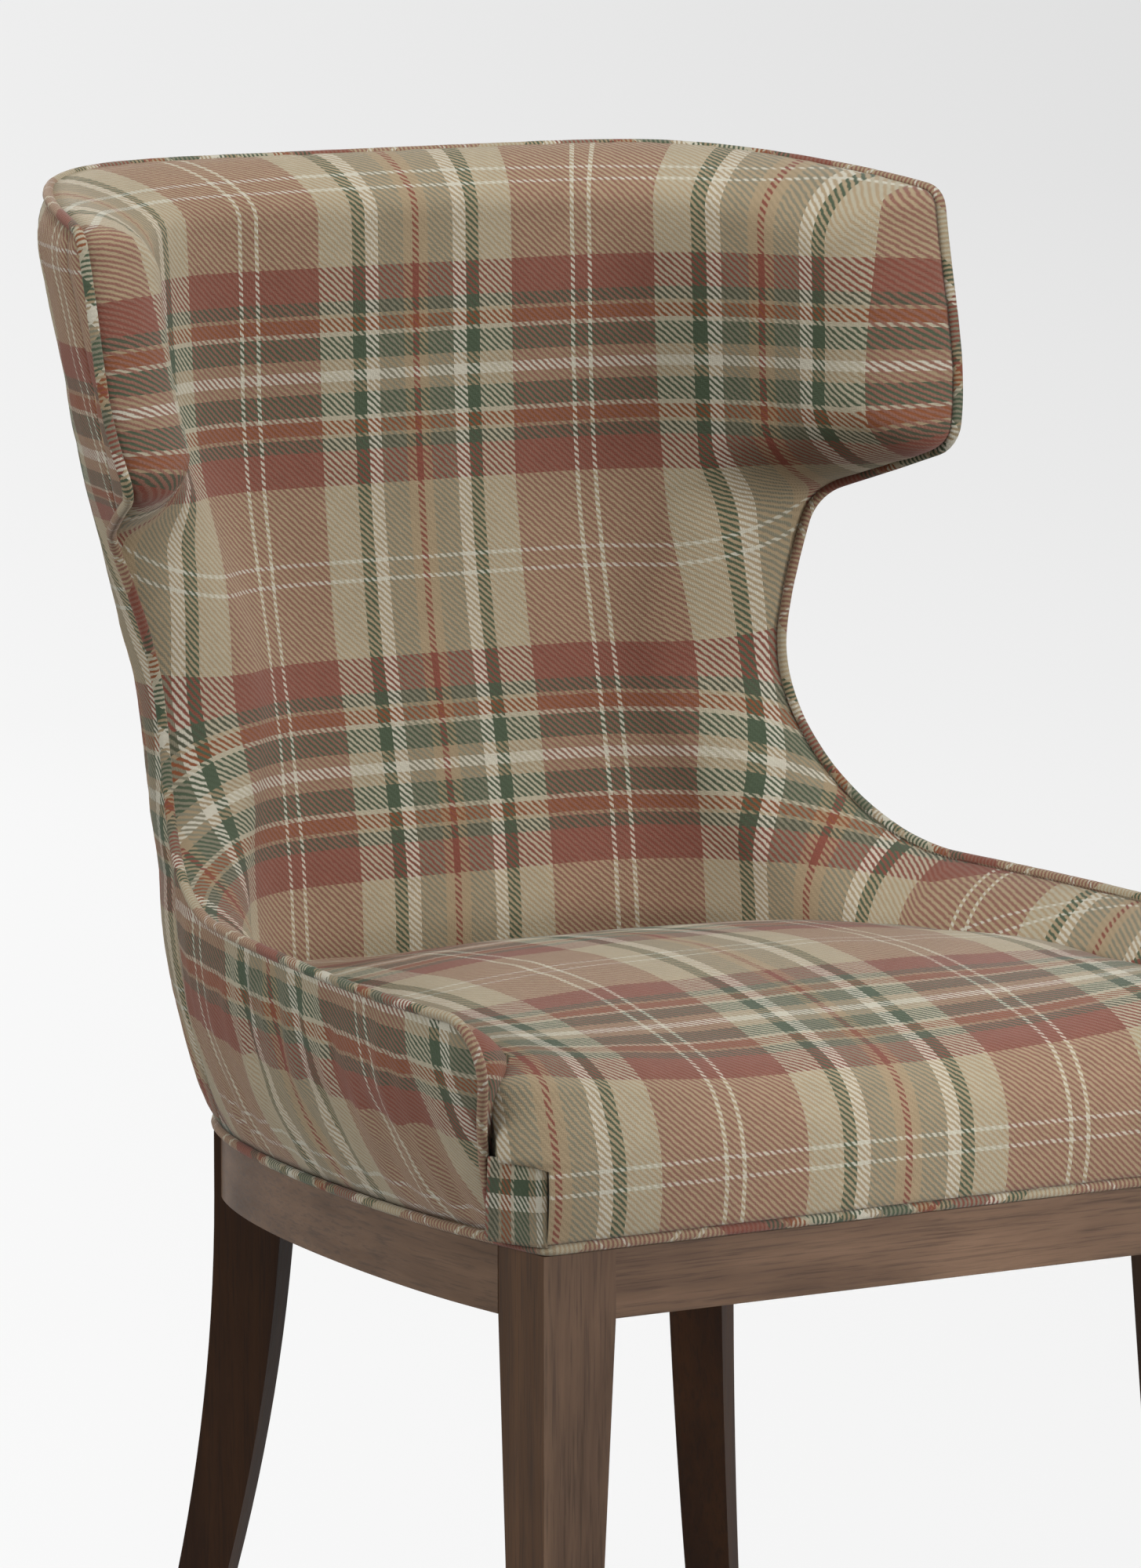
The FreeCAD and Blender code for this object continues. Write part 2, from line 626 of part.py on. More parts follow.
def layer(outer_share, inner_share, region):
    return surface[outer_share].common(region).cut(surface[inner_share])


outside = layer(0.0, COVER_SHARE, edge_profile)
seam_x = size("rear_leg_side")
seam_front = size("rear_leg_back") - 30.0
back_zone = span_box(-HALF_SPAN, HALF_SPAN, seam_front, FAR_BACK, rail_top, rail_top + 2 * LEVELS[-1])
left_zone = span_box(-HALF_SPAN, 0, -FAR_BACK, seam_front, rail_top, rail_top + 2 * LEVELS[-1])


def panels(shape, arm_label, wing_label, back_label):
    """An arm panel and a wing panel on each side, cut at the back posts, and a back panel."""
    left = sorted(shape.common(left_zone).Solids, key=lambda solid: solid.BoundBox.ZMin)
    for label, piece in ((arm_label, left[0]), (wing_label, left[-1])):
        node(feature("left_" + label + "_piece", piece), "left_" + label)
        node(feature("right_" + label + "_piece", mirrored(piece)), "right_" + label)
    node(feature(back_label + "_piece", shape.common(back_zone)), back_label)


panels(outside, "outside_arm_cover", "outside_wing_cover", "back_outside_cover")

# Padding wraps past the frame's edge and leaves room for the frame inside
frame_profile = profile_slab(size("edge_wrap") - soft_gap, soft_bottom - 1.0)
padding = layer(PAD_START, LINING_START - 0.006, edge_profile)
padding = padding.cut(layer(PAD_START, PAD_INNER_START, frame_profile))
panels(padding, "arm_padding", "wing_padding", "back_padding")
node(feature("lining_piece", layer(LINING_START, 1.0, edge_profile)), "inside_cover")

# Frame of the back: curved boards cut from one layer of the shell
board_profile = profile_slab(size("edge_wrap"), 0.0)
boards = layer(FRAME_START, FRAME_END, board_profile)
post_inner = size("post_inner")
post_outer = size("post_outer")
top_of_boards = rail_top + size("crown_level") - size("edge_wrap") - 2.0
post_front = size("arm_rear") - 80.0


def board(x_low, x_high, y_low, y_high, z_low, z_high):
    piece = boards.common(span_box(x_low, x_high, y_low, y_high, z_low, z_high))
    return max(piece.Solids, key=lambda solid: solid.Volume)


back_rail_height = size("back_rail_height")
low_rail_z = rail_top + size("back_rail_low")
high_rail_z = top_of_boards - back_rail_height
arm_board_top = rail_top + size("arm_nose_height") - size("edge_wrap")
wing_board_low = rail_top + size("wing_low_height") + size("wing_board_rise")
wing_board_top = wing_board_low + size("wing_board_height")
front_post_back = size("arm_setback") + size("front_post_depth")
arm_board_low = arm_board_top - size("arm_board_height")

back_post = board(post_inner, post_outer, post_front, FAR_BACK, rail_top, top_of_boards)
arm_board = board(post_outer, HALF_SPAN, front_post_back - 20.0, FAR_BACK, arm_board_low, arm_board_top)
front_post = board(post_inner, HALF_SPAN, 0.0, front_post_back, rail_top, arm_board_low)
wing_board = board(post_outer, HALF_SPAN, 0.0, FAR_BACK, wing_board_low, wing_board_top)
top_rail = board(-post_inner, post_inner, post_front, FAR_BACK, high_rail_z, top_of_boards)
low_rail = board(-post_inner, post_inner, post_front, FAR_BACK, low_rail_z, low_rail_z + back_rail_height)
node(feature("back_top_rail_piece", top_rail), "back_top_rail")
node(feature("back_lower_rail_piece", low_rail), "back_lower_rail")
for board_name, board_shape in (
    ("back_post", back_post),
    ("arm_board", arm_board),
    ("arm_front_post", front_post),
    ("wing_board", wing_board),
):
    node(feature("right_" + board_name + "_piece", board_shape), "right_" + board_name)
    node(feature("left_" + board_name + "_piece", mirrored(board_shape)), "left_" + board_name)

# Webbing across the back, on the inner side of the frame
back_straps = []
strap_layer = layer(FRAME_END, STRAP_END, board_profile)
strap_z = low_rail_z + back_rail_height + 20.0
while strap_z + size("back_strap") < high_rail_z:
    band = span_box(-post_outer + 4.0, post_outer - 4.0, post_front, FAR_BACK, strap_z, strap_z + size("back_strap"))
    piece = strap_layer.common(band)
    back_straps.append(max(piece.Solids, key=lambda solid: solid.Volume))
    strap_z += size("back_strap_pitch")
node(feature("back_webbing_group", Part.makeCompound(back_straps)), "back_webbing")

# Piped cord along the edge of the shell, from arm front to arm front over the top of the back
welt_band = shell_solid(0.0, welt / 2.0).cut(shell_solid(0.0, -welt / 2.0))
welt_outer = rounded_wire(profile_corners(-150.0), -HALF_SPAN).makeOffset2D(welt * 0.5)
welt_slab = Part.Face(welt_outer).extrude(FreeCAD.Vector(2.0 * HALF_SPAN, 0, 0))
edge_welt = welt_band.common(welt_slab)
edge_welt = edge_welt.cut(Part.Face(rounded_wire(profile_corners(-150.0), -HALF_SPAN).makeOffset2D(
    soft_gap)).extrude(FreeCAD.Vector(2.0 * HALF_SPAN, 0, 0)))
edge_welt = edge_welt.common(span_box(-HALF_SPAN, HALF_SPAN, -HALF_SPAN, size("frame_length") + 100.0,
                                      welt_high + soft_gap, rail_top + 2 * LEVELS[-1]))
node(feature("edge_welt_piece", edge_welt), "edge_welt")

# Seat: a crowned cushion whose front spreads past the arms, over a foam core
seat_bottom = welt_high + soft_gap


def seat_section(x, drop, draw_in):
    """Closed section of the seat from front to back, lowered and drawn in towards the sides."""
    front = -size("seat_front_bulge") + draw_in
    back = size("frame_length")
    shoulder = rail_top + size("seat_front_height") - drop
    crown = rail_top + size("seat_crown_height") - drop
    rear = rail_top + size("seat_back_height") - drop
    turn = size("seat_front_round") * (shoulder - seat_bottom) / (shoulder + drop - seat_bottom)
    points = [
        (front + 1.5, seat_bottom),
        (front, (seat_bottom + shoulder - turn) / 2.0),
        (front + 1.0, shoulder - turn),
        (front + 0.30 * turn, shoulder - 0.32 * turn),
        (front + turn, shoulder),
        (front + 0.25 * back, (shoulder + 2.0 * crown) / 3.0),
        (front + 0.46 * back, crown),
        (front + 0.72 * back, (crown + rear) / 2.0 + 3.0),
        (back - 20.0, rear),
    ]
    vectors = [FreeCAD.Vector(x, y, z) for y, z in points]
    curve = Part.BSplineCurve()
    curve.interpolate(vectors)
    rear_foot = FreeCAD.Vector(x, back - 20.0, seat_bottom)
    return Part.Wire([
        curve.toShape(),
        Part.LineSegment(vectors[-1], rear_foot).toShape(),
        Part.LineSegment(rear_foot, vectors[0]).toShape(),
    ])


seat_sections = []
for share in (-1.0, -0.93, -0.7, -0.36, 0.0, 0.36, 0.7, 0.93, 1.0):
    side_drop = size("seat_side_drop") * abs(share) ** 2.4
    if abs(share) > 0.95:
        side_drop = size("seat_side_drop") + 16.0
    seat_sections.append(seat_section(share * front_half_width, side_drop, 3.0 * abs(share) ** 6))
seat = Part.makeLoft(seat_sections, True, False)
grown_shell = shell_solid(0.0, 12.0).cut(shell_solid(1.0, -0.8))
grown_profile = Part.Face(rounded_wire(profile_corners(-150.0), -HALF_SPAN).makeOffset2D(
    1.2)).extrude(FreeCAD.Vector(2.0 * HALF_SPAN, 0, 0))
seat = seat.cut(grown_shell.common(grown_profile))
seat = max(seat.Solids, key=lambda solid: solid.Volume)
foam_low = rail_top + 2 * strap + soft_gap
foam_below = 20.0


def foam_block(room):
    """Core of the seat, or with some room the hollow that holds it."""
    below = foam_below if room else 0.0
    block = base_prism(size("foam_inset") - room, size("foam_front") - room,
                       foam_low - below, foam_low + size("foam_height") + room)
    back = size("foam_front") + size("foam_length") + room
    return block.common(span_box(-HALF_SPAN, HALF_SPAN, 0, back, rail_low, rail_top + LEVELS[-1]))


node(feature("seat_cover_piece", seat.cut(foam_block(soft_gap))), "seat_cover")
node(feature("seat_foam_piece", foam_block(0.0)), "seat_foam")

doc.recompute()

# Place the origin midway between the outermost points, on the floor
whole = FreeCAD.BoundBox()
for item in NODES:
    whole.add(item.Shape.optimalBoundingBox(False))
shift = FreeCAD.Vector(-whole.Center.x, -whole.Center.y, -whole.ZMin)

for item in doc.Objects:
    if "Invalid" in item.State or "Error" in item.State:
        raise RuntimeError("failed object: " + item.Label)
os.makedirs("parts", exist_ok=True)
print("origin shift", round(shift.y, 4))
for item in NODES:
    shape = item.Shape.copy()
    if shape.isNull() or not shape.isValid() or not shape.Solids:
        raise RuntimeError("bad shape: " + item.Label)
    shape.translate(shift)
    shape.exportStep(os.path.join("parts", item.Label + ".step"))
    box_now = shape.optimalBoundingBox(False)
    print("%-26s solids %2d  volume %9.0f  x %.0f..%.0f y %.0f..%.0f z %.0f..%.0f" % (
        item.Label, len(shape.Solids), shape.Volume, box_now.XMin, box_now.XMax,
        box_now.YMin, box_now.YMax, box_now.ZMin, box_now.ZMax))
print("nodes", len(NODES))
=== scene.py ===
"""Upholstered fireside chair in tartan: the soft pieces, materials, light and camera round the CAD's solids."""
import math

import bmesh
import bpy
import numpy as np
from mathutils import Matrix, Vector, noise
from mathutils.geometry import delaunay_2d_cdt


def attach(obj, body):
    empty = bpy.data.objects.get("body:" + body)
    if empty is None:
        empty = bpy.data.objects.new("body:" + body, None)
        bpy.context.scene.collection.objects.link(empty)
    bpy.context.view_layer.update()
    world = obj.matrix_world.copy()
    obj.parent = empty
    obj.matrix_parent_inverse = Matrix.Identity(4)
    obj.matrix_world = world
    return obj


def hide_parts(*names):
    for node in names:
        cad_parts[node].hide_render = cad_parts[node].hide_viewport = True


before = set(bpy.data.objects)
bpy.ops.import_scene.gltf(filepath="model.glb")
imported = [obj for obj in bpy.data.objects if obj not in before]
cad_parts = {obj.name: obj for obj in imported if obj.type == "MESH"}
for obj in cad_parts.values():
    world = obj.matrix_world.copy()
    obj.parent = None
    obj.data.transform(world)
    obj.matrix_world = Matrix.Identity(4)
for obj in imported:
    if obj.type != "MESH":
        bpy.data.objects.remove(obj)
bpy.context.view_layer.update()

# Lengths in metres. The chair's own frame has the rail's front face at Y = 0; the row frame is shifted.
# A height h is measured from the rails' top, and a distance s along an outline from the back's middle.
SHIFT_Y = -0.30168
RAIL = 0.350
WELT = 0.0066
REPEAT = 0.248
CLOTH_LEVEL = 0.564

# Outline of the shell at seven heights

HEIGHTS = np.array([-0.016, 0.070, 0.150, 0.290, 0.440, 0.530, 0.616])
HALF_WIDTHS = np.array([0.2487, 0.288, 0.300, 0.289, 0.347, 0.3588, 0.3701])
REARS = 0.556 + np.array([-0.0011, 0.005, 0.010, 0.038, 0.050, 0.0478, 0.0456])
SIDES = np.array([0.042, 0.042, 0.042, 0.056, 0.056, 0.056, 0.056])
BACKS = np.array([0.062, 0.062, 0.062, 0.062, 0.056, 0.0515, 0.0472])
WIDEST = 0.110
ANGLES = np.radians(90.0 - 122.0 * np.linspace(0.0, 1.0, 900) ** 2.5)


def spline(xs, ys):
    """Natural cubic spline through the points, as a function."""
    count = len(xs)
    gaps = np.diff(xs)
    matrix = np.zeros((count, count))
    right = np.zeros(count)
    matrix[0, 0] = matrix[-1, -1] = 1.0
    for i in range(1, count - 1):
        matrix[i, i - 1:i + 2] = gaps[i - 1], 2.0 * (gaps[i - 1] + gaps[i]), gaps[i]
        right[i] = 6.0 * ((ys[i + 1] - ys[i]) / gaps[i] - (ys[i] - ys[i - 1]) / gaps[i - 1])
    bend = np.linalg.solve(matrix, right)

    def value(x):
        x = np.asarray(x, float)
        i = np.clip(np.searchsorted(xs, x) - 1, 0, count - 2)
        past, ahead, gap = x - xs[i], xs[i + 1] - x, gaps[i]
        cubic = (bend[i] * ahead ** 3 + bend[i + 1] * past ** 3) / (6.0 * gap)
        return cubic + (ys[i] / gap - bend[i] * gap / 6.0) * ahead + (
            ys[i + 1] / gap - bend[i + 1] * gap / 6.0) * past

    return value


half_width_at = spline(HEIGHTS, HALF_WIDTHS)
rear_at = spline(HEIGHTS, REARS)
side_at = spline(HEIGHTS, SIDES)
back_at = spline(HEIGHTS, BACKS)


class Shell:
    """One surface of the shell, at a share of its thickness; s runs along the outline from the back's middle."""

    def __init__(self, share):
        self.levels = np.linspace(-0.010, 0.610, 125)
        self.s = np.linspace(0.0, 0.90, 361)
        self.x = np.zeros((len(self.levels), len(self.s)))
        self.y = np.zeros_like(self.x)
        for row, height in enumerate(self.levels):
            wide = half_width_at(height) - share * side_at(height)
            rear = rear_at(height) - share * back_at(height)
            corner = 4.4 + 2.2 * height / 0.6
            taper = 1.64 - 0.49 * height / 0.6
            x = wide * np.maximum(np.cos(ANGLES), 0.0) ** (2.0 / corner)
            sine = np.sin(ANGLES)
            y = WIDEST + (rear - WIDEST) * np.sign(sine) * np.abs(sine) ** (2.0 / taper)
            x[0] = 0.0
            run = np.concatenate([[0.0], np.cumsum(np.hypot(np.diff(x), np.diff(y)))])
            self.x[row] = np.interp(self.s, run, x)
            self.y[row] = np.interp(self.s, run, y)
            past = self.s > run[-1]
            self.x[row, past] = x[-1]
            self.y[row, past] = y[-1] - (self.s[past] - run[-1])

    def row_of(self, h):
        """Place of a height among the levels."""
        return np.clip((h - self.levels[0]) / (self.levels[1] - self.levels[0]), 0, len(self.levels) - 1.001)

    def at(self, s, h):
        """Points of the surface; a negative s is on the left."""
        s, h = np.broadcast_arrays(np.asarray(s, float), np.asarray(h, float))
        column = np.clip(np.abs(s) / self.s[1], 0, len(self.s) - 1.001)
        row = self.row_of(h)
        c, r = column.astype(int), row.astype(int)
        fc, fr = column - c, row - r

        def mix(grid):
            low = grid[r, c] * (1 - fc) + grid[r, c + 1] * fc
            high = grid[r + 1, c] * (1 - fc) + grid[r + 1, c + 1] * fc
            return low * (1 - fr) + high * fr

        x = mix(self.x) * np.where(s < 0, -1.0, 1.0)
        return np.stack([x, mix(self.y) + SHIFT_Y, RAIL + h], axis=-1)

    def normal(self, s, h):
        """Outward normals of the surface."""
        step = 0.006
        along = self.at(s + step, h) - self.at(s - step, h)
        up = self.at(s, h + step) - self.at(s, h - step)
        out = np.cross(up, along)
        out /= np.linalg.norm(out, axis=-1, keepdims=True)
        return out

    def s_of(self, y, h):
        """Distance along the outline at which the surface passes a depth y, at a height."""
        found = []
        for one_y, one_h in zip(np.atleast_1d(y), np.atleast_1d(h)):
            row = self.row_of(one_h)
            r = int(row)
            depths = self.y[r] * (1 - row + r) + self.y[r + 1] * (row - r)
            found.append(np.interp(-one_y, -depths, self.s))
        return np.array(found)


OUTER = Shell(0.0)
INNER = Shell(1.0)

# Edge of the shell, seen from the side: corners as (y, h, radius)

ARM_SLOPE = (0.047 + 0.005) / 0.137
CORNERS = [
    (0.047 - ARM_SLOPE * 0.0075, 0.0075, 0.0),
    (-0.005, 0.137, 0.030),
    (0.472, 0.158, 0.150),
    (0.487, 0.378, 0.026),
    (0.388, 0.414, 0.014),
    (0.425, 0.571, 0.014),
    (0.556, 0.593, 0.0),
]


def rounded_path(corners, step):
    """Points along straight runs whose corners (y, z, radius) are rounded, up to the last rounding."""
    points = [np.array(corners[0][:2])]
    for before, here, after in zip(corners, corners[1:], corners[2:]):
        spot = np.array(here[:2])
        back = np.array(before[:2]) - spot
        ahead = np.array(after[:2]) - spot
        back /= np.linalg.norm(back)
        ahead /= np.linalg.norm(ahead)
        half = math.acos(float(back @ ahead)) / 2.0
        reach = here[2] / math.tan(half)
        start, end = spot + back * reach, spot + ahead * reach
        middle = (back + ahead) / np.linalg.norm(back + ahead)
        centre = spot + middle * (here[2] / math.sin(half))
        run = np.linalg.norm(start - points[-1])
        count = max(2, int(run / step))
        points += [points[-1] + (start - points[-1]) * k / count for k in range(1, count + 1)]
        sweep = math.pi - 2.0 * half
        count = max(5, int(here[2] * sweep / (step * 0.75)))
        a, b = start - centre, end - centre
        for k in range(1, count + 1):
            t = k / count
            points.append(centre + (math.sin((1 - t) * sweep) * a + math.sin(t * sweep) * b) / math.sin(sweep))
    return np.array(points)


TOP_BEND = 0.556


def top_line(y):
    """Height of the top edge at a depth."""
    return np.where(y < TOP_BEND, 0.571 + (y - 0.425) * 22.0 / 131.0, 0.593 + (y - TOP_BEND) * 7.0 / 46.0)


FRONT_PATH = rounded_path(CORNERS, 0.0045)
TOP_STEPS = 84
SMOOTHING = np.array([1.0, 2.0, 3.0, 2.0, 1.0]) / 9.0


def edge_of(shell):
    """The edge on one surface, from the left arm's foot over the top to the right one: s, height."""
    s = shell.s_of(FRONT_PATH[:, 0], FRONT_PATH[:, 1])
    h = FRONT_PATH[:, 1].copy()
    share = np.linspace(1.0, 0.0, TOP_STEPS + 1)[1:]
    top_s = s[-1] * share
    top_h = np.full(TOP_STEPS, h[-1])
    for _ in range(12):
        top_h = top_line(shell.at(top_s, top_h)[:, 1] - SHIFT_Y)
    s, h = np.concatenate([s, top_s]), np.concatenate([h, top_h])
    return np.concatenate([-s, s[-2::-1]]), np.concatenate([h, h[-2::-1]])


def edge_normals():
    """Direction out of the shell across its edge, in the side view, for each point of the edge."""
    ahead = np.gradient(FRONT_PATH, axis=0)
    front = np.stack([-ahead[:, 1], ahead[:, 0]], axis=1)
    s, h = edge_of(OUTER)
    depth = OUTER.at(s, h)[:, 1] - SHIFT_Y
    top = depth[len(FRONT_PATH):len(FRONT_PATH) + TOP_STEPS]
    slope = np.where(top < TOP_BEND, 22.0 / 131.0, 7.0 / 46.0)
    both = np.concatenate([front, np.stack([-slope, np.ones_like(slope)], axis=1)])
    both /= np.linalg.norm(both, axis=1, keepdims=True)
    padded = np.concatenate([both[:1], both[:1], both, both[-1:], both[-1:]])
    both = np.stack([np.convolve(padded[:, i], SMOOTHING, "valid") for i in range(2)], axis=1)
    both /= np.linalg.norm(both, axis=1, keepdims=True)
    half = np.stack([np.zeros(len(both)), both[:, 0], both[:, 1]], axis=1)
    return np.concatenate([half, half[-2::-1]])


def inset(s, h, distance):
    """A path from the left foot to the right one, moved inwards, and its inward directions: s, h, ds, dh."""
    ds, dh = np.gradient(s), np.gradient(h)
    length = np.hypot(ds, dh)
    ns, nh = dh / length, -ds / length
    ns, nh = (np.convolve(np.concatenate([n[:1]] * 2 + [n] + [n[-1:]] * 2), SMOOTHING, "valid") for n in (ns, nh))
    length = np.hypot(ns, nh)
    return s + distance * ns / length, h + distance * nh / length, ns / length, nh / length


# Noise, distances and meshes

def soft(s, h, size, seed):
    """Smooth noise between -1 and 1 for arrays, with a feature size in each direction."""
    flat = zip(np.ravel(s) / size[0], np.ravel(h) / size[1])
    return np.array([noise.noise(Vector((a, b, seed))) for a, b in flat]).reshape(np.shape(s))


def smooth(t):
    t = np.clip(t, 0.0, 1.0)
    return t * t * (3.0 - 2.0 * t)


def distance_to(points, path):
    """Least distance of points to a path of points close together, in a plane."""
    best = np.full(len(points), 1e9)
    for start in range(0, len(path), 60):
        part = path[start:start + 60]
        gap = np.hypot(points[:, None, 0] - part[None, :, 0], points[:, None, 1] - part[None, :, 1])
        best = np.minimum(best, gap.min(axis=1))
    return best


def grid_faces(rows, columns, first=0, flip=False):
    """Quads of a grid of points whose rows follow each other from one index on."""
    faces = []
    for i in range(rows - 1):
        for j in range(columns - 1):
            a = first + i * columns + j
            face = (a, a + 1, a + columns + 1, a + columns)
            faces.append(face[::-1] if flip else face)
    return faces


def make_mesh(name, points, faces, uvs, material):
    """Smooth object from points, faces and a place in the cloth for each point, in metres."""
    mesh = bpy.data.meshes.new(name)
    mesh.from_pydata([tuple(p) for p in points], [], [tuple(f) for f in faces])
    mesh.materials.append(material)
    if uvs is not None:
        layer = mesh.uv_layers.new(name="cloth")
        index = np.zeros(len(mesh.loops), np.int32)
        mesh.loops.foreach_get("vertex_index", index)
        layer.data.foreach_set("uv", (np.asarray(uvs, np.float32)[index] / REPEAT).ravel())
    mesh.validate()
    mesh.update()
    mesh.polygons.foreach_set("use_smooth", [True] * len(mesh.polygons))
    thing = bpy.data.objects.new(name, mesh)
    bpy.context.scene.collection.objects.link(thing)
    return thing


def thicken(thing, depth, offset=-1.0):
    modifier = thing.modifiers.new("cloth thickness", "SOLIDIFY")
    modifier.thickness = depth
    modifier.offset = offset


def weld(thing, distance):
    """Joins points that lie together, and faces the normals one way."""
    work = bmesh.new()
    work.from_mesh(thing.data)
    bmesh.ops.remove_doubles(work, verts=work.verts, dist=distance)
    bmesh.ops.recalc_face_normals(work, faces=work.faces)
    work.to_mesh(thing.data)
    work.free()
    thing.data.update()


def fill(boundary, spacing, margin):
    """Triangles inside a closed path in a plane: the path's points first, then a grid inside it."""
    low, high = boundary.min(axis=0), boundary.max(axis=0)
    us = np.arange(low[0] + spacing, high[0], spacing)
    vs = np.arange(low[1] + spacing, high[1], spacing * 0.866)
    grid = np.array([(u + (0.5 * spacing if k % 2 else 0.0), v) for k, v in enumerate(vs) for u in us])
    ends = np.roll(boundary, -1, axis=0)
    inside = np.zeros(len(grid), bool)
    for (x0, y0), (x1, y1) in zip(boundary, ends):
        if y0 == y1:
            continue
        crosses = (y0 > grid[:, 1]) != (y1 > grid[:, 1])
        inside ^= crosses & (grid[:, 0] < (x1 - x0) * (grid[:, 1] - y0) / (y1 - y0) + x0)
    grid = grid[inside]
    steps = max(1, int(np.max(np.hypot(*(ends - boundary).T)) / (spacing * 0.5)))
    dense = np.concatenate([boundary + (ends - boundary) * k / steps for k in range(steps)])
    grid = grid[distance_to(grid, dense) > margin]
    everything = [Vector(p) for p in np.concatenate([boundary, grid])]
    loop = list(range(len(boundary)))
    found, _, faces, _, _, _ = delaunay_2d_cdt(everything, [], [loop], 1, 1e-7)
    return np.array([tuple(p) for p in found]), faces


def tube(name, path, radius, material, closed=False):
    """Round cord along a path, its cloth cut on the bias."""
    sides, turn = 12, 0.6
    path = np.asarray(path, float)
    if closed:
        ahead = np.roll(path, -1, axis=0) - np.roll(path, 1, axis=0)
    else:
        ahead = np.gradient(path, axis=0)
    ahead /= np.linalg.norm(ahead, axis=1, keepdims=True)
    side = np.zeros_like(path)
    previous = np.array([0.0, 0.0, 1.0])
    if abs(ahead[0] @ previous) > 0.9:
        previous = np.array([1.0, 0.0, 0.0])
    for i, direction in enumerate(ahead):
        previous = previous - direction * (previous @ direction)
        previous /= np.linalg.norm(previous)
        side[i] = previous
    other = np.cross(ahead, side)
    run = np.concatenate([[0.0], np.cumsum(np.linalg.norm(np.diff(path, axis=0), axis=1))])
    points, uvs = [], []
    for i in range(len(path)):
        swell = 1.0 + 0.05 * noise.noise(Vector((run[i] * 60.0, 3.1, radius * 100)))
        for k in range(sides + 1):
            angle = 2.0 * math.pi * k / sides
            points.append(path[i] + radius * swell * (math.cos(angle) * side[i] + math.sin(angle) * other[i]))
            around = radius * (angle + turn)
            uvs.append(((run[i] + around) * 0.7071 + 0.31, (run[i] - around) * 0.7071 + 0.05))
    faces = grid_faces(len(path), sides + 1)
    last = (len(path) - 1) * (sides + 1)
    if closed:
        faces += [(last + k, last + k + 1, k + 1, k) for k in range(sides)]
    else:
        faces += [tuple(range(sides - 1, -1, -1)), tuple(range(last, last + sides))]
    return make_mesh(name, points, faces, uvs, material)


# Materials

def new_material(name):
    material = bpy.data.materials.new(name)
    material.use_nodes = True
    tree = material.node_tree
    tree.nodes.clear()
    output = tree.nodes.new("ShaderNodeOutputMaterial")
    shader = tree.nodes.new("ShaderNodeBsdfPrincipled")
    tree.links.new(shader.outputs[0], output.inputs["Surface"])
    return material, tree, shader


class Graph:
    """Short calls for a material's nodes."""

    def __init__(self, tree):
        self.tree = tree

    def node(self, kind, **settings):
        made = self.tree.nodes.new(kind)
        for key, value in settings.items():
            setattr(made, key, value)
        return made

    def put(self, socket, value):
        if isinstance(value, bpy.types.NodeSocket):
            self.tree.links.new(value, socket)
        else:
            socket.default_value = value

    def math(self, operation, *values):
        made = self.node("ShaderNodeMath", operation=operation)
        for socket, value in zip(made.inputs, values):
            self.put(socket, value)
        return made.outputs[0]

    def mix(self, factor, a, b, blend="MIX"):
        made = self.node("ShaderNodeMix", data_type="RGBA", blend_type=blend)
        self.put(made.inputs[0], factor)
        self.put(made.inputs[6], a)
        self.put(made.inputs[7], b)
        return made.outputs[2]

    def ramp(self, factor, stops, interpolation="LINEAR"):
        made = self.node("ShaderNodeValToRGB")
        made.color_ramp.interpolation = interpolation
        elements = made.color_ramp.elements
        while len(elements) > 1:
            elements.remove(elements[-1])
        for i, (place, colour) in enumerate(stops):
            element = elements[0] if i == 0 else elements.new(place)
            element.position = place
            element.color = (*colour, 1.0)
        self.put(made.inputs[0], factor)
        return made.outputs[0]

    def noise(self, vector, scale, detail=2.0, roughness=0.5):
        made = self.node("ShaderNodeTexNoise")
        self.put(made.inputs["Vector"], vector)
        made.inputs["Scale"].default_value = scale
        made.inputs["Detail"].default_value = detail
        made.inputs["Roughness"].default_value = roughness
        return made.outputs[0]

    def bump(self, shader, height, strength, distance):
        made = self.node("ShaderNodeBump")
        made.inputs["Strength"].default_value = strength
        made.inputs["Distance"].default_value = distance
        self.put(made.inputs["Height"], height)
        self.put(shader.inputs["Normal"], made.outputs[0])

    def grey_of(self, value):
        """A number as a grey colour."""
        made = self.node("ShaderNodeCombineColor")
        for socket in made.inputs:
            self.put(socket, value)
        return made.outputs[0]

    def about(self, value, middle, amount):
        """A number's distance from a middle value, times an amount."""
        return self.math("MULTIPLY", self.math("SUBTRACT", value, middle), amount)

    def stretch(self, vector, scale):
        made = self.node("ShaderNodeMapping")
        self.put(made.inputs["Vector"], vector)
        made.inputs["Scale"].default_value = scale
        return made.outputs[0]


# Cloth: the twill's steps, the yarns' width, their colours, and half of each symmetrical set of stripes
TWILL_ALONG, TWILL_UP = 0.00483, 0.0042
WARP_YARN, WEFT_YARN = 0.00121, 0.00105
ROSE = (0.168, 0.080, 0.056)
CREAM = (0.300, 0.270, 0.196)
WHITE = (0.390, 0.366, 0.296)
MOSS = (0.150, 0.138, 0.096)
FOREST = (0.046, 0.064, 0.037)
BRICK = (0.150, 0.046, 0.030)
BEIGE = (0.262, 0.200, 0.122)
TAN = (0.226, 0.172, 0.104)
RUST = (0.160, 0.052, 0.020)
SLATE = (0.052, 0.056, 0.034)

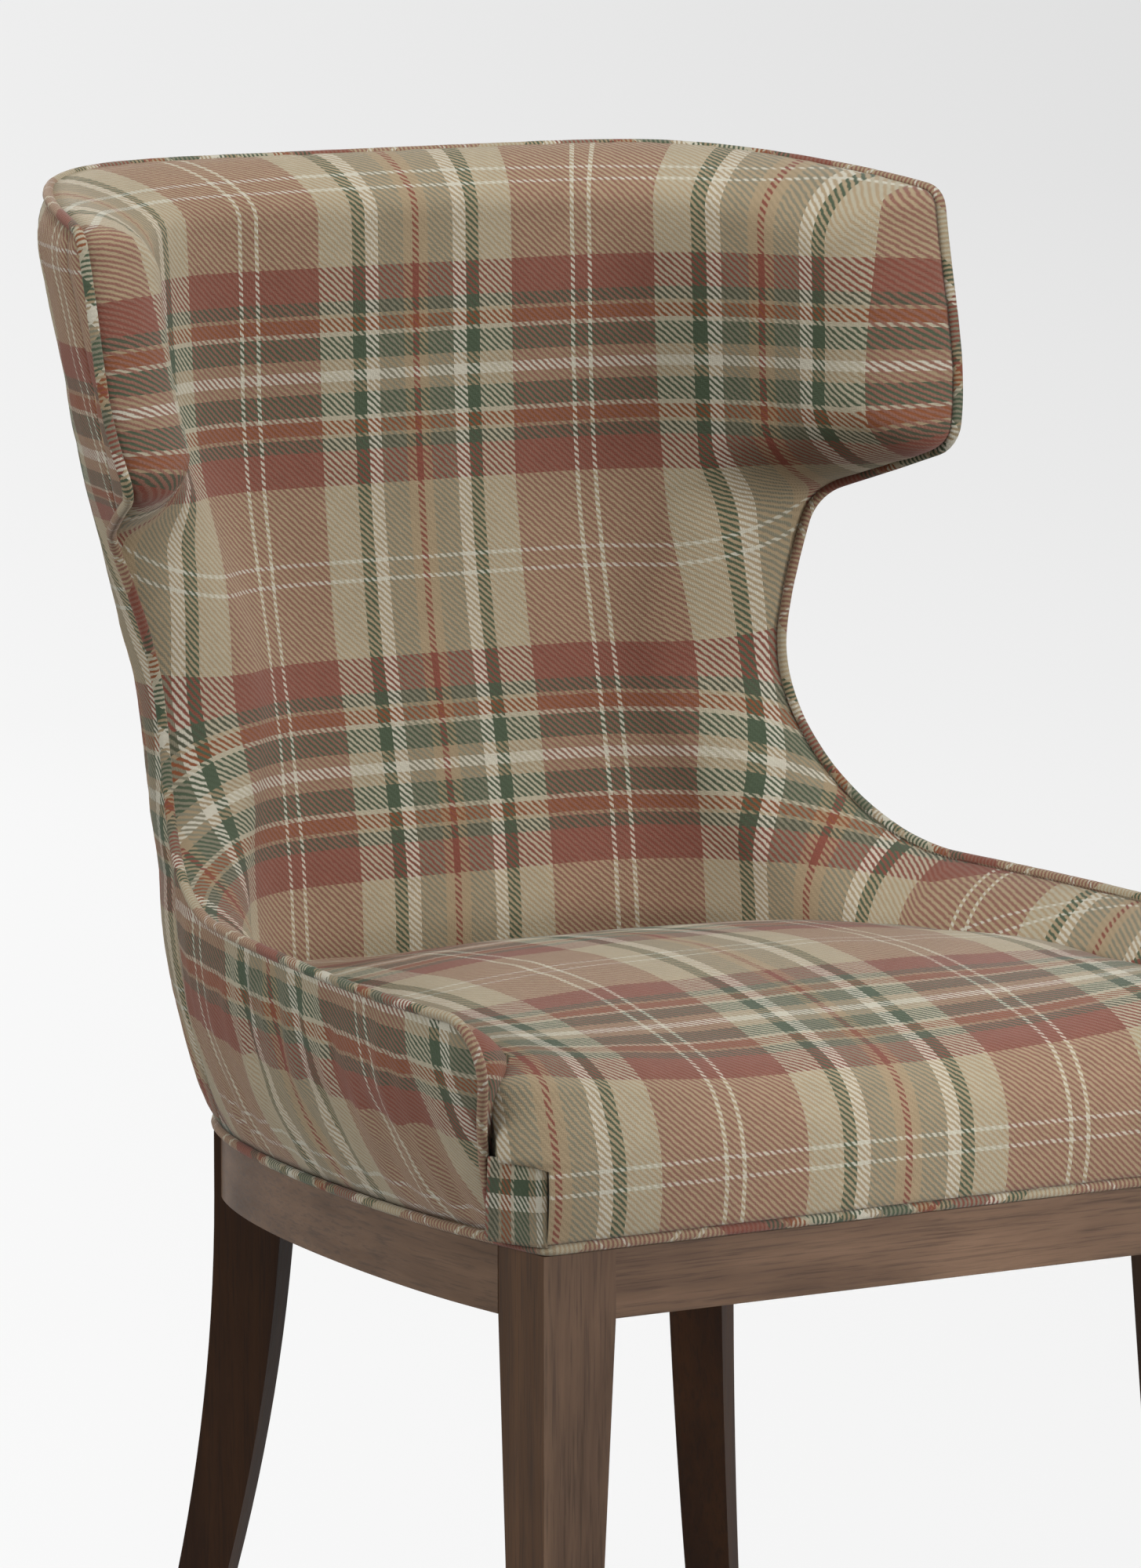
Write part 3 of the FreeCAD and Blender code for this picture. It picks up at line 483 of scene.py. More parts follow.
WARP = [(0.0, BRICK), (0.0165, TAN), (0.0706, MOSS), (0.2258, WHITE), (0.3012, FOREST), (0.3812, CREAM),
        (0.5788, ROSE), (0.9341, WHITE), (0.9577, ROSE)]
WEFT = [(0.0, WHITE), (0.0242, TAN), (0.0846, FOREST), (0.2016, CREAM), (0.2258, RUST), (0.2944, TAN),
        (0.3146, SLATE), (0.3790, BRICK), (0.5564, BEIGE), (0.9386, WHITE), (0.9606, BEIGE)]


def tartan_material(name, level=1.0):
    """Brushed wool tartan in a twill weave: two sets of coloured yarns that float over each other in turn."""
    material, tree, shader = new_material(name)
    g = Graph(tree)
    place = g.node("ShaderNodeUVMap", uv_map="cloth").outputs[0]
    split = g.node("ShaderNodeSeparateXYZ")
    g.put(split.inputs[0], place)
    u, v = split.outputs[0], split.outputs[1]
    wander = g.noise(place, 9.0, 2.0)
    drift = g.about(wander, 0.5, 0.0035)

    def stripe(coordinate, stops):
        moved = g.math("ADD", coordinate, drift)
        part = g.math("FRACT", g.math("ADD", moved, 0.5))
        middle = g.math("MULTIPLY", g.math("ABSOLUTE", g.math("SUBTRACT", part, 0.5)), 2.0)
        scaled = [(p, tuple(c * level for c in colour)) for p, colour in stops]
        return g.ramp(middle, scaled, "CONSTANT")

    warp, weft = stripe(u, WARP), stripe(v, WEFT)
    yarn_wander = g.noise(place, 55.0, 2.0, 0.6)
    fine_wander = g.noise(place, 520.0, 1.0, 0.6)
    phase = g.math("ADD", g.math("MULTIPLY", u, REPEAT / TWILL_ALONG), g.math("MULTIPLY", v, REPEAT / TWILL_UP))
    phase = g.math("ADD", phase, g.about(yarn_wander, 0.5, 0.55))
    phase = g.math("ADD", phase, g.about(fine_wander, 0.5, 0.45))
    wave = g.math("SINE", g.math("MULTIPLY", phase, 2.0 * math.pi))
    over = g.node("ShaderNodeMapRange", interpolation_type="SMOOTHSTEP")
    g.put(over.inputs[0], wave)
    over.inputs[1].default_value = -0.62
    over.inputs[2].default_value = 0.62
    twill = over.outputs[0]
    colour = g.mix(twill, weft, warp)
    # single yarns: fine ribs along each direction
    rib_u = g.math("SINE", g.math("MULTIPLY", u, 2.0 * math.pi * REPEAT / WARP_YARN))
    rib_v = g.math("SINE", g.math("MULTIPLY", v, 2.0 * math.pi * REPEAT / WEFT_YARN))
    ribs = g.mix(twill, rib_v, rib_u)
    rib_value = g.node("ShaderNodeRGBToBW")
    g.put(rib_value.inputs[0], ribs)
    fibre = g.noise(place, 900.0, 3.0, 0.75)
    heather = g.noise(g.stretch(place, (420.0, 900.0, 1.0)), 1.0, 2.0, 0.7)
    cloud = g.noise(place, 22.0, 3.0, 0.6)
    speckle = g.math("ADD", g.about(fibre, 0.5, 1.25), 1.0)
    speckle = g.math("ADD", speckle, g.about(heather, 0.5, 0.90))
    speckle = g.math("ADD", speckle, g.about(cloud, 0.5, 0.20))
    speckle = g.math("ADD", speckle, g.math("MULTIPLY", rib_value.outputs[0], 0.05))
    colour = g.mix(1.0, colour, g.grey_of(speckle), "MULTIPLY")
    g.put(shader.inputs["Base Color"], colour)
    rough = g.math("ADD", g.math("MULTIPLY", fibre, 0.12), 0.80)
    g.put(shader.inputs["Roughness"], rough)
    shader.inputs["Specular IOR Level"].default_value = 0.18
    shader.inputs["Sheen Weight"].default_value = 0.10
    shader.inputs["Sheen Roughness"].default_value = 0.45
    height = g.math("ADD", g.math("MULTIPLY", wave, 0.5), g.math("MULTIPLY", fibre, 1.1))
    height = g.math("ADD", height, g.math("MULTIPLY", rib_value.outputs[0], 0.35))
    g.bump(shader, height, 0.55, 0.00035)
    return material


def wood_material(name, along, light, dark, rough, side_shade=1.0):
    """Wood whose grain runs along one axis: 0, 1 or 2; a painted side shade darkens and warms the faces to the left
    and right.
    """
    material, tree, shader = new_material(name)
    g = Graph(tree)
    place = g.node("ShaderNodeTexCoord").outputs["Object"]
    across = [34.0, 34.0, 34.0]
    across[along] = 2.6
    fine = [520.0, 520.0, 520.0]
    fine[along] = 16.0
    bend = g.noise(place, 5.0, 2.0)
    moved = g.node("ShaderNodeVectorMath", operation="ADD")
    g.put(moved.inputs[0], g.stretch(place, across))
    g.put(moved.inputs[1], bend)
    bands = g.noise(moved.outputs[0], 1.0, 5.0, 0.62)
    pores = g.noise(g.stretch(place, fine), 1.0, 3.0, 0.7)
    cloud = g.noise(place, 14.0, 2.0)
    tone = g.ramp(bands, [(0.30, dark), (0.50, tuple((a + b) / 2 for a, b in zip(light, dark))), (0.68, light)])
    pore = g.ramp(pores, [(0.36, (0.55, 0.55, 0.55)), (0.50, (1.0, 1.0, 1.0))])
    colour = g.mix(0.75, tone, pore, "MULTIPLY")
    knots = g.node("ShaderNodeTexVoronoi")
    knot_scale = [9.0, 9.0, 9.0]
    knot_scale[along] = 4.0
    g.put(knots.inputs["Vector"], g.stretch(place, knot_scale))
    knots.inputs["Scale"].default_value = 1.0
    knot = g.ramp(knots.outputs["Distance"], [(0.05, (0.35, 0.32, 0.30)), (0.11, (1.0, 1.0, 1.0))])
    colour = g.mix(0.8, colour, knot, "MULTIPLY")
    shade = g.ramp(cloud, [(0.3, (0.88, 0.88, 0.88)), (0.7, (1.10, 1.10, 1.10))])
    colour = g.mix(1.0, colour, shade, "MULTIPLY")
    # Painted shade: faces turned to the left or right get a darker, warmer colour that stands in for the shade on
    # the legs' sides.
    if side_shade < 1.0:
        facing = g.node("ShaderNodeSeparateXYZ")
        g.put(facing.inputs[0], g.node("ShaderNodeTexCoord").outputs["Normal"])
        sideways = g.math("ABSOLUTE", facing.outputs[0])
        side_shade_tint = (side_shade, side_shade * 0.82, side_shade * 0.62)
        painted_side_shade = g.ramp(sideways, [(0.45, (1.0, 1.0, 1.0)), (0.80, side_shade_tint)])
        colour = g.mix(1.0, colour, painted_side_shade, "MULTIPLY")
    g.put(shader.inputs["Base Color"], colour)
    g.put(shader.inputs["Roughness"], g.math("ADD", g.math("MULTIPLY", pores, 0.25), rough))
    shader.inputs["Specular IOR Level"].default_value = 0.14
    g.bump(shader, pores, 0.35, 0.0003)
    return material


def plain_material(name, colour, rough, metal=0.0, grain=400.0, weave=False):
    """Small hidden parts: a colour with fine variation, or a plain woven band."""
    material, tree, shader = new_material(name)
    g = Graph(tree)
    place = g.node("ShaderNodeTexCoord").outputs["Object"]
    fleck = g.noise(place, grain, 3.0, 0.7)
    if weave:
        split = g.node("ShaderNodeSeparateXYZ")
        g.put(split.inputs[0], place)
        a = g.math("SINE", g.math("MULTIPLY", split.outputs[0], 2100.0))
        b = g.math("SINE", g.math("MULTIPLY", split.outputs[1], 2100.0))
        fleck = g.math("ADD", g.math("MULTIPLY", g.math("MULTIPLY", a, b), 0.25), fleck)
    dark = tuple(c * 0.72 for c in colour)
    light = tuple(min(1.0, c * 1.22) for c in colour)
    g.put(shader.inputs["Base Color"], g.ramp(fleck, [(0.3, dark), (0.7, light)]))
    g.put(shader.inputs["Roughness"], g.math("ADD", g.math("MULTIPLY", fleck, 0.15), rough))
    shader.inputs["Metallic"].default_value = metal
    g.bump(shader, fleck, 0.3, 0.0003)
    return material


tartan = tartan_material("tartan")
welt_tartan = tartan_material("welt tartan", 0.95)
WOOD_LIGHT, WOOD_DARK = (0.140, 0.086, 0.054), (0.056, 0.032, 0.019)
wood_x = wood_material("stained wood, grain across", 0, WOOD_LIGHT, WOOD_DARK, 0.42)
wood_y = wood_material("stained wood, grain front to back", 1, WOOD_LIGHT, WOOD_DARK, 0.42)
# The upright legs carry the painted side shade, at 0.55.
wood_z = wood_material("stained wood, grain upright, painted side shade", 2, WOOD_LIGHT, WOOD_DARK, 0.48, 0.55)
# The rear legs get a far darker copy of the wood: painted shade for the shadow under the seat.
wood_rear_painted_shade = wood_material("stained wood, rear legs, painted shade", 2, (0.034, 0.014, 0.005), (0.013, 0.005, 0.002), 0.58)
TIMBER_LIGHT, TIMBER_DARK = (0.52, 0.37, 0.22), (0.38, 0.25, 0.14)
frame_x = wood_material("frame timber across", 0, TIMBER_LIGHT, TIMBER_DARK, 0.55)
frame_z = wood_material("frame timber upright", 2, TIMBER_LIGHT, TIMBER_DARK, 0.55)
dust_cloth = plain_material("black dust cloth", (0.022, 0.022, 0.023), 0.8, weave=True)
webbing = plain_material("jute webbing", (0.40, 0.31, 0.20), 0.8, weave=True)
steel = plain_material("zinc plated steel", (0.55, 0.55, 0.56), 0.32, metal=1.0, grain=900.0)
nylon = plain_material("moulded nylon", (0.05, 0.045, 0.04), 0.45, grain=200.0)

NODE_MATERIALS = {
    "front_rail": wood_x, "rear_rail": wood_x, "left_side_rail": wood_y, "right_side_rail": wood_y,
    "dust_cover": dust_cloth, "foot_glides": nylon, "leg_bolts": steel, "leg_nuts": steel,
    "rail_dowels": frame_x, "back_top_rail": frame_x, "back_lower_rail": frame_x,
    "rear_left_leg": wood_rear_painted_shade, "rear_right_leg": wood_rear_painted_shade,
}
for label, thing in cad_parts.items():
    if label in NODE_MATERIALS:
        chosen = NODE_MATERIALS[label]
    elif "webbing" in label:
        chosen = webbing
    elif label.endswith("leg"):
        chosen = wood_z
    elif "block" in label or "board" in label or "post" in label:
        chosen = frame_z
    else:
        chosen = tartan
    thing.data.materials.clear()
    thing.data.materials.append(chosen)

# Inside cover of the back, wings and arms; it wraps over the edge

RISE_START = 0.330


def cloth_rise(s):
    """How far the inside cloth runs uphill on the arms, where it turns the corner."""
    past = np.maximum(np.abs(s) - RISE_START, 0.0)
    return 0.43 * np.minimum(past, 0.16) + 0.26 * np.maximum(past - 0.16, 0.0)


def inside_uv(s, h):
    """Place in the cloth of the inside cover."""
    low = smooth((0.36 - h) / 0.12)
    return np.stack([s, h + RAIL - CLOTH_LEVEL - cloth_rise(s) * low], axis=-1)


def fold(s, h, start, end, width, depth):
    """A crease in a cover from one place to another: its displacement at each point."""
    (s0, h0), (s1, h1) = start, end
    ds, dh = s1 - s0, h1 - h0
    length = math.hypot(ds, dh)
    along = ((s - s0) * ds + (h - h0) * dh) / length ** 2
    off = ((s - s0) * dh - (h - h0) * ds) / length
    fade = smooth(along / 0.25) * smooth((1.0 - along) / 0.35)
    return depth * fade * np.exp(-(off / width) ** 2)


def inside_relief(s, h):
    """Displacement into the seat's space of the inside cover: soft hollows, and pulls at the wings' corners."""
    side = np.abs(s)
    relief = 0.0016 * soft(s, h, (0.09, 0.11), 2.0) + 0.0007 * soft(s, h, (0.030, 0.045), 5.0)
    relief += fold(side, h, (0.275, 0.455), (0.225, 0.330), 0.012, -0.0030)
    relief += fold(side, h, (0.300, 0.440), (0.245, 0.300), 0.010, 0.0026)
    relief += fold(side, h, (0.330, 0.425), (0.262, 0.345), 0.008, -0.0022)
    return relief


s_out, h_out = edge_of(OUTER)
s_in, h_in = edge_of(INNER)
edge_out = edge_normals()
outer_points = OUTER.at(s_out, h_out)
inner_points = INNER.at(s_in, h_in)
across = outer_points - inner_points
run = np.concatenate([[0.0], np.cumsum(np.linalg.norm(np.diff(outer_points, axis=0), axis=1))])
pucker = np.array([noise.noise(Vector((r * 70.0, 1.0, 7.0))) for r in run])
swell = np.array([noise.noise(Vector((r * 14.0, 5.0, 2.0))) for r in run])
on_arm = smooth((0.23 - h_in) / 0.06)
on_wing = smooth((h_in - 0.37) / 0.04)
on_top = smooth((0.30 - np.abs(s_in)) / 0.10) * on_wing
roll = 0.036 + 0.014 * on_arm + 0.006 * on_wing - 0.014 * on_top
roll_start = np.radians(15.0 + 11.0 * on_arm - 15.0 * on_wing + 14.0 * on_top)
plumpness = 0.0020 - 0.0016 * on_arm + 0.0022 * on_wing - 0.0040 * on_top
cloth_share = 1.0 - 0.62 * on_wing * (1.0 - on_top)


def roll_arc(radius, thickness, angle):
    """Length of the rolled edge from an angle to its end, where it meets the flat part."""
    part = np.linspace(0.0, 1.0, 25)[:, None]
    angles = angle[None] + (math.pi / 2.0 - angle[None]) * part
    speed = np.hypot(thickness * np.cos(angles), radius * np.sin(angles))
    return ((speed[1:] + speed[:-1]) / 2.0).sum(axis=0) * (math.pi / 2.0 - angle) / 24.0


def rolled(s, h, nearest, gap):
    """Points of the inside cover and their place in the cloth; near the edge it rolls over to the outer side."""
    radius, thickness = roll[nearest], np.linalg.norm(across[nearest], axis=1)
    first = roll_start[nearest]
    cosine = 1.0 - np.clip(gap / radius, 0.0, 1.0)
    angle = np.arccos(np.clip(cosine * np.cos(first), 0.0, 1.0))
    sine = np.sin(angle)
    normal = INNER.normal(s, h)
    relief = inside_relief(s, h) * sine ** 2
    outwards = (1.0 - sine) / (1.0 - np.sin(first))
    points = INNER.at(s, h) - normal * relief[:, None] + across[nearest] * outwards[:, None]
    since = np.clip((angle - first) / (math.pi / 2.0 - first), 0.0, 1.0)
    puff = plumpness[nearest] * (1.0 + 0.3 * swell[nearest]) * np.sin(math.pi * since) ** 0.7
    puff += 0.0008 * pucker[nearest] * np.exp(-(since / 0.16) ** 2) - 0.0020 * np.exp(-(since / 0.07) ** 2)
    way = edge_out[nearest] * np.clip(cosine, 0.15, 1.0)[:, None] + normal * (-0.35 * sine)[:, None]
    points += way * puff[:, None]
    extra = roll_arc(radius / np.cos(first), thickness / (1.0 - np.sin(first)), angle) - radius * cosine
    extra *= cloth_share[nearest]
    uv = inside_uv(s, h) - step_uv[nearest] * extra[:, None]
    return points, uv


_, _, inward_s, inward_h = inset(s_in, h_in, 0.010)
step_uv = inside_uv(s_in + inward_s * 0.002, h_in + inward_h * 0.002) - inside_uv(s_in, h_in)
window = np.hanning(31)
step_uv = np.stack([np.convolve(np.pad(step_uv[:, i], 15, mode="edge"), window, "valid") for i in range(2)], axis=1)
step_uv /= np.linalg.norm(step_uv, axis=1, keepdims=True)
STRIP_GAPS = (0.0, 0.0003, 0.0010, 0.0022, 0.0038, 0.0058, 0.0082)
index = np.arange(len(s_in))
strip_points, strip_uvs = [], []
for gap in STRIP_GAPS:
    s_now, h_now, _, _ = inset(s_in, h_in, gap)
    points_now, uvs_now = rolled(s_now, h_now, index, np.full(len(index), gap))
    strip_points.append(points_now)
    strip_uvs.append(uvs_now)
low_edge = 0.012
s_line = np.arange(s_now[-1], s_now[0], -0.012)[1:-1]
boundary = np.concatenate([
    np.stack([s_now, h_now], axis=1),
    np.stack([s_line, np.full(len(s_line), low_edge)], axis=1),
])
flat, sheet_faces = fill(boundary, 0.0062, 0.0031)
edge_plan = np.stack([s_in, h_in], axis=1)
nearest = np.zeros(len(flat), int)
gap_now = np.full(len(flat), 1e9)
for start in range(0, len(edge_plan), 60):
    part = edge_plan[start:start + 60]
    distance = np.hypot(flat[:, None, 0] - part[None, :, 0], flat[:, None, 1] - part[None, :, 1])
    best = distance.argmin(axis=1)
    least = distance[np.arange(len(flat)), best]
    closer = least < gap_now
    nearest[closer], gap_now[closer] = best[closer] + start, least[closer]
points, uvs = rolled(flat[:, 0], flat[:, 1], nearest, gap_now)

sheet_count = len(points)
strip = np.stack(strip_points)
strip_rows, strip_columns = strip.shape[:2]
all_points = np.concatenate([points, strip.reshape(-1, 3)])
all_uvs = np.concatenate([uvs, np.stack(strip_uvs).reshape(-1, 2)])
all_faces = [tuple(face) for face in sheet_faces]
for i in range(strip_rows - 1):
    for j in range(strip_columns - 1):
        a = sheet_count + i * strip_columns + j
        all_faces.append((a, a + strip_columns, a + strip_columns + 1, a + 1))
inside = make_mesh("inside_back_and_arms", all_points, all_faces, all_uvs, tartan)


weld(inside, 0.0006)
thicken(inside, 0.0018, 1.0)

# Outside panels

SEAM_DEPTH = 0.444
LOW = 0.0072


def outside_uv(s, h):
    """Place in the cloth of the outside covers, seen from outside; the arm panels have a cut of their own."""
    arm = smooth((0.20 - h) / 0.03) * smooth((np.abs(s) - 0.30) / 0.02)
    wing = smooth((h - 0.38) / 0.04)
    v = h + RAIL - CLOTH_LEVEL + 0.032 * wing
    v_arm = h + RAIL - 0.490 + 0.05 * (np.abs(s) - 0.62)
    gathered = arm * smooth((0.15 - h) / 0.10)
    shift = 0.0050 * gathered * soft(s, h, (0.024, 0.040), 77.0)
    shift += 0.0022 * gathered * soft(s, h, (0.011, 0.02), 78.0)
    drop = 0.0045 * gathered * soft(s, h, (0.018, 0.055), 79.0)
    return np.stack([-s + shift, v * (1 - arm) + v_arm * arm + drop], axis=-1)


# How far the outside stands out from the solids, by height
SIDE_SWELL = np.array([
    (0.000, 0.0005), (0.045, -0.0022), (0.070, -0.0030), (0.140, -0.0034), (0.165, -0.0040), (0.201, 0.0018),
    (0.240, 0.0050), (0.279, 0.0076), (0.317, 0.0080), (0.356, 0.0034), (0.395, -0.0020), (0.433, -0.0054),
    (0.472, -0.0052), (0.511, 0.0006), (0.549, 0.0068), (0.568, 0.0092), (0.600, 0.0096),
])


def outside_relief(s, h, seed):
    """Outward displacement of an outside panel: soft swellings, and gathers above the base cord."""
    low = np.exp(-np.maximum(h - LOW, 0.0) / 0.050)
    relief = 0.0016 * soft(s, h, (0.055, 0.075), seed)
    gathers = soft(s + 0.25 * h, h, (0.0155, 0.12), seed + 3.0) + 0.6 * soft(s, h, (0.031, 0.16), seed + 5.0)
    arm = smooth((np.abs(s) - 0.40) / 0.05) * smooth((0.22 - h) / 0.06)
    relief += (0.0042 * low + 0.0012 + 0.0012 * arm) * gathers
    relief += (0.0010 + 0.0008 * arm) * soft(s, h, (0.020, 0.034), seed + 9.0)
    return relief


def outside_panel(name, path, nodes, seed, puff):
    """A panel of the outside cover inside a closed path of (s, height), eased in at its edges."""
    flat, faces = fill(path, 0.0062, 0.0028)
    s, h = flat[:, 0], flat[:, 1]
    ends = np.roll(path, -1, axis=0)
    dense = np.concatenate([path + (ends - path) * k / 4.0 for k in range(4)])
    gap = distance_to(flat, dense)
    eased = 1.0 - np.exp(-gap / 0.010)
    lift = puff * (1.0 - np.exp(-gap / 0.030)) + outside_relief(s, h, seed) * eased - 0.0012 * (1.0 - eased)
    flank = smooth((np.abs(s) - 0.15) / 0.12) * smooth((0.70 - np.abs(s)) / 0.14)
    from_cord = distance_to(flat, np.stack([s_out, h_out], axis=1))
    lift += np.interp(h, SIDE_SWELL[:, 0], SIDE_SWELL[:, 1]) * flank * (1.0 - np.exp(-from_cord / 0.012))
    pulls = np.array([noise.noise(Vector((a * 62.0, b * 62.0, seed))) for a, b in flat])
    lift += 0.0011 * pulls * np.exp(-gap / 0.012) * eased
    points = OUTER.at(s, h) + OUTER.normal(s, h) * lift[:, None]
    panel = make_mesh(name, points, faces, outside_uv(s, h), tartan)
    weld(panel, 0.00002)
    thicken(panel, 0.0016)
    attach(panel, "root")
    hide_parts(*nodes)


heights = np.linspace(LOW, 0.5925, 160)
seam_s = OUTER.s_of(np.full(len(heights), SEAM_DEPTH), heights)
s_edge, h_edge, _, _ = inset(s_out, h_out, 0.0012)
edge_depth = OUTER.at(s_edge, h_edge)[:, 1] - SHIFT_Y
middle = len(s_edge) // 2
left_s, left_h, left_depth = s_edge[:middle + 1], h_edge[:middle + 1], edge_depth[:middle + 1]
behind = np.where((left_depth > SEAM_DEPTH) & (left_h < 0.45))[0]
arm_end, wing_start = behind[0], behind[-1]
wing_end = np.where((left_depth > SEAM_DEPTH) & (left_h > 0.45))[0][0]


def seam_between(low, high):
    """The seam at the back post from one height to another, on the right."""
    count = max(2, int((high - low) / 0.005))
    hs = np.linspace(low, high, count)
    return np.stack([np.interp(hs, heights, seam_s), hs], axis=1)


for side, word in ((1.0, "left"), (-1.0, "right")):
    arm_edge = np.stack([left_s[:arm_end], left_h[:arm_end]], axis=1)
    seam = seam_between(LOW, left_h[arm_end - 1] - 0.002)[::-1] * [-1, 1]
    base_line = np.arange(seam[-1, 0] - 0.005, arm_edge[0, 0] + 0.002, -0.005)
    base = np.stack([base_line, np.full(len(base_line), LOW)], axis=1)
    path = np.concatenate([arm_edge, seam, base]) * [side, 1]
    outside_panel(word + "_outside_arm", path, [word + "_outside_arm_cover"], 11.0 + side, 0.0045)
    wing_edge = np.stack([left_s[wing_start + 1:wing_end], left_h[wing_start + 1:wing_end]], axis=1)
    seam = seam_between(wing_edge[0, 1] + 0.002, wing_edge[-1, 1] - 0.002)[::-1] * [-1, 1]
    path = np.concatenate([wing_edge, seam]) * [side, 1]
    outside_panel(word + "_outside_wing", path, [word + "_outside_wing_cover"], 21.0 + side, 0.0040)

low_seam = seam_between(LOW, left_h[arm_end] - 0.001) * [-1, 1]
waist_edge = np.stack([left_s[arm_end:wing_start + 1], left_h[arm_end:wing_start + 1]], axis=1)
high_seam = seam_between(left_h[wing_start] + 0.001, left_h[wing_end] - 0.001) * [-1, 1]
top_edge = np.stack([left_s[wing_end:], left_h[wing_end:]], axis=1)
left_side = np.concatenate([low_seam, waist_edge, high_seam, top_edge])
right_side = left_side[-2::-1] * [-1, 1]
base_line = np.arange(right_side[-1, 0] - 0.006, left_side[0, 0] + 0.003, -0.006)
base = np.stack([base_line, np.full(len(base_line), LOW)], axis=1)
outside_panel("outside_back", np.concatenate([left_side, right_side, base]), ["back_outside_cover"], 31.0, 0.0040)

# Piped cords

proud = 0.0016 - 0.0034 * smooth((0.40 - np.abs(s_out)) / 0.15) * smooth((h_out - 0.45) / 0.05)
edge_path = OUTER.at(s_out, h_out) + edge_out * proud[:, None] + OUTER.normal(s_out, h_out) * 0.0008
edge_cord = tube("edge_cord", edge_path, WELT / 2.0, welt_tartan)

CORD_LEVEL, CORD_FRONT = 0.0037, SHIFT_Y - 0.0006
base_s = OUTER.s_of([0.004], [CORD_LEVEL])[0]
side_line = OUTER.at(np.linspace(-base_s, base_s, 220), np.full(220, CORD_LEVEL))
corner = 0.006
straight = 0.2525 - corner
front_line = [(x, CORD_FRONT, RAIL + CORD_LEVEL) for x in np.linspace(straight, -straight, 70)]
right_turn = [(straight + corner * math.sin(a), CORD_FRONT + corner - corner * math.cos(a), RAIL + CORD_LEVEL)
              for a in np.radians([75, 50, 25])]
left_turn = [(-x, y, z) for x, y, z in reversed(right_turn)]
base_path = np.concatenate([side_line, np.array(right_turn), np.array(front_line), np.array(left_turn)])
base_cord = tube("base_cord", base_path, WELT / 2.0, welt_tartan, closed=True)

for thing, label in ((edge_cord, "edge_welt"), (base_cord, "base_welt")):
    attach(thing, "root")
    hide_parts(label)

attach(inside, "root")
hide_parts("inside_cover", *[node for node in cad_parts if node.endswith("_padding")])

# Seat: its line over the middle, as (y, h)

SEAT_FOOT = 0.0076
SEAT_PROFILE = np.array([
    (-0.0035, SEAT_FOOT), (-0.0062, 0.022), (-0.0072, 0.040), (-0.0050, 0.058), (0.0035, 0.0770), (0.0180, 0.0905),
    (0.0400, 0.1000), (0.1340, 0.1260), (0.2510, 0.1345), (0.3600, 0.1240), (0.4500, 0.1060), (0.5060, 0.0940),
])


def seat_line(count):
    """The seat's line over its middle, from the front's foot to the back, evenly spaced."""
    gaps = np.hypot(*np.diff(SEAT_PROFILE, axis=0).T)
    knots = np.concatenate([[0.0], np.cumsum(gaps)])
    ys, zs = spline(knots, SEAT_PROFILE[:, 0]), spline(knots, SEAT_PROFILE[:, 1])
    dense = np.linspace(0.0, knots[-1], 2000)
    line = np.stack([ys(dense), zs(dense)], axis=1)
    run = np.concatenate([[0.0], np.cumsum(np.hypot(*np.diff(line, axis=0).T))])
    even = np.linspace(0.0, run[-1], count)
    return np.stack([np.interp(even, run, line[:, 0]), np.interp(even, run, line[:, 1])], axis=1), even


# Half widths of the seat's front below the fold and of the corners (ears) that spread over the arms above it
FRONT_HALF = 0.2535
EAR_HALF = 0.2775
FOLD = 0.055
CORNER_TURN = 0.024
SEAT_ROWS, SEAT_COLUMNS = 190, 151
line, line_run = seat_line(SEAT_ROWS)
front_run = np.interp(0.042, line[:40, 1], line_run[:40])
spread = np.linspace(-1.0, 1.0, SEAT_COLUMNS)
across_share = np.sin(spread * math.pi / 2.0) * 0.45 + spread * 0.55
side = np.abs(across_share)
EDGE_DROP = np.array([
    (0.000, -0.010), (0.010, -0.022), (0.040, -0.018), (0.134, 0.008), (0.251, 0.020), (0.360, 0.014),
    (0.450, 0.004), (0.500, -0.005), (0.540, -0.008),
])
turn_in = np.clip((side - 0.90) / 0.10, 0.0, 1.0) * math.pi / 2.0
seat_points = []
for row in range(SEAT_ROWS):
    y, z = line[row]
    top = smooth((z - 0.070) / 0.030)
    ear = smooth((z - FOLD + 0.003) / 0.005)
    drop = np.interp(y, EDGE_DROP[:, 0], EDGE_DROP[:, 1]) * side ** 2.6 * smooth((z - 0.055) / 0.03)
    height = np.maximum(z - drop, SEAT_FOOT)
    arm_front = 0.049 - ARM_SLOPE * height
    level = np.clip(height, 0.02, 0.15)
    inner_s = INNER.s_of(np.full(SEAT_COLUMNS, max(y, 0.0)), level)
    inner = np.minimum(np.abs(INNER.at(inner_s, level)[:, 0]) + 0.002, FRONT_HALF)
    beside = smooth((y - arm_front - 0.002) / 0.034)
    wide = FRONT_HALF * (1.0 - ear) + EAR_HALF * ear
    x_front = np.where(side < 0.90, side / 0.90 * (wide - CORNER_TURN),
                       wide - CORNER_TURN + CORNER_TURN * np.sin(turn_in))
    x = np.sign(across_share) * (x_front * (1.0 - beside) + side * inner * beside)
    y_now = y + 0.016 * (1.0 - np.cos(turn_in)) * ear * (1.0 - beside) * (1.0 - 0.6 * top)
    z_now = height - (0.016 * top * (1.0 - beside) + 0.004 * beside) * (1.0 - np.cos(turn_in))
    seat_points.append(np.stack([x, y_now + SHIFT_Y, RAIL + z_now], axis=1))
grid = np.stack(seat_points)
gaps = np.linalg.norm(np.diff(grid, axis=1), axis=2)
from_middle = np.concatenate([np.zeros((SEAT_ROWS, 1)), np.cumsum(gaps, axis=1)], axis=1)
from_middle -= from_middle[:, SEAT_COLUMNS // 2][:, None]
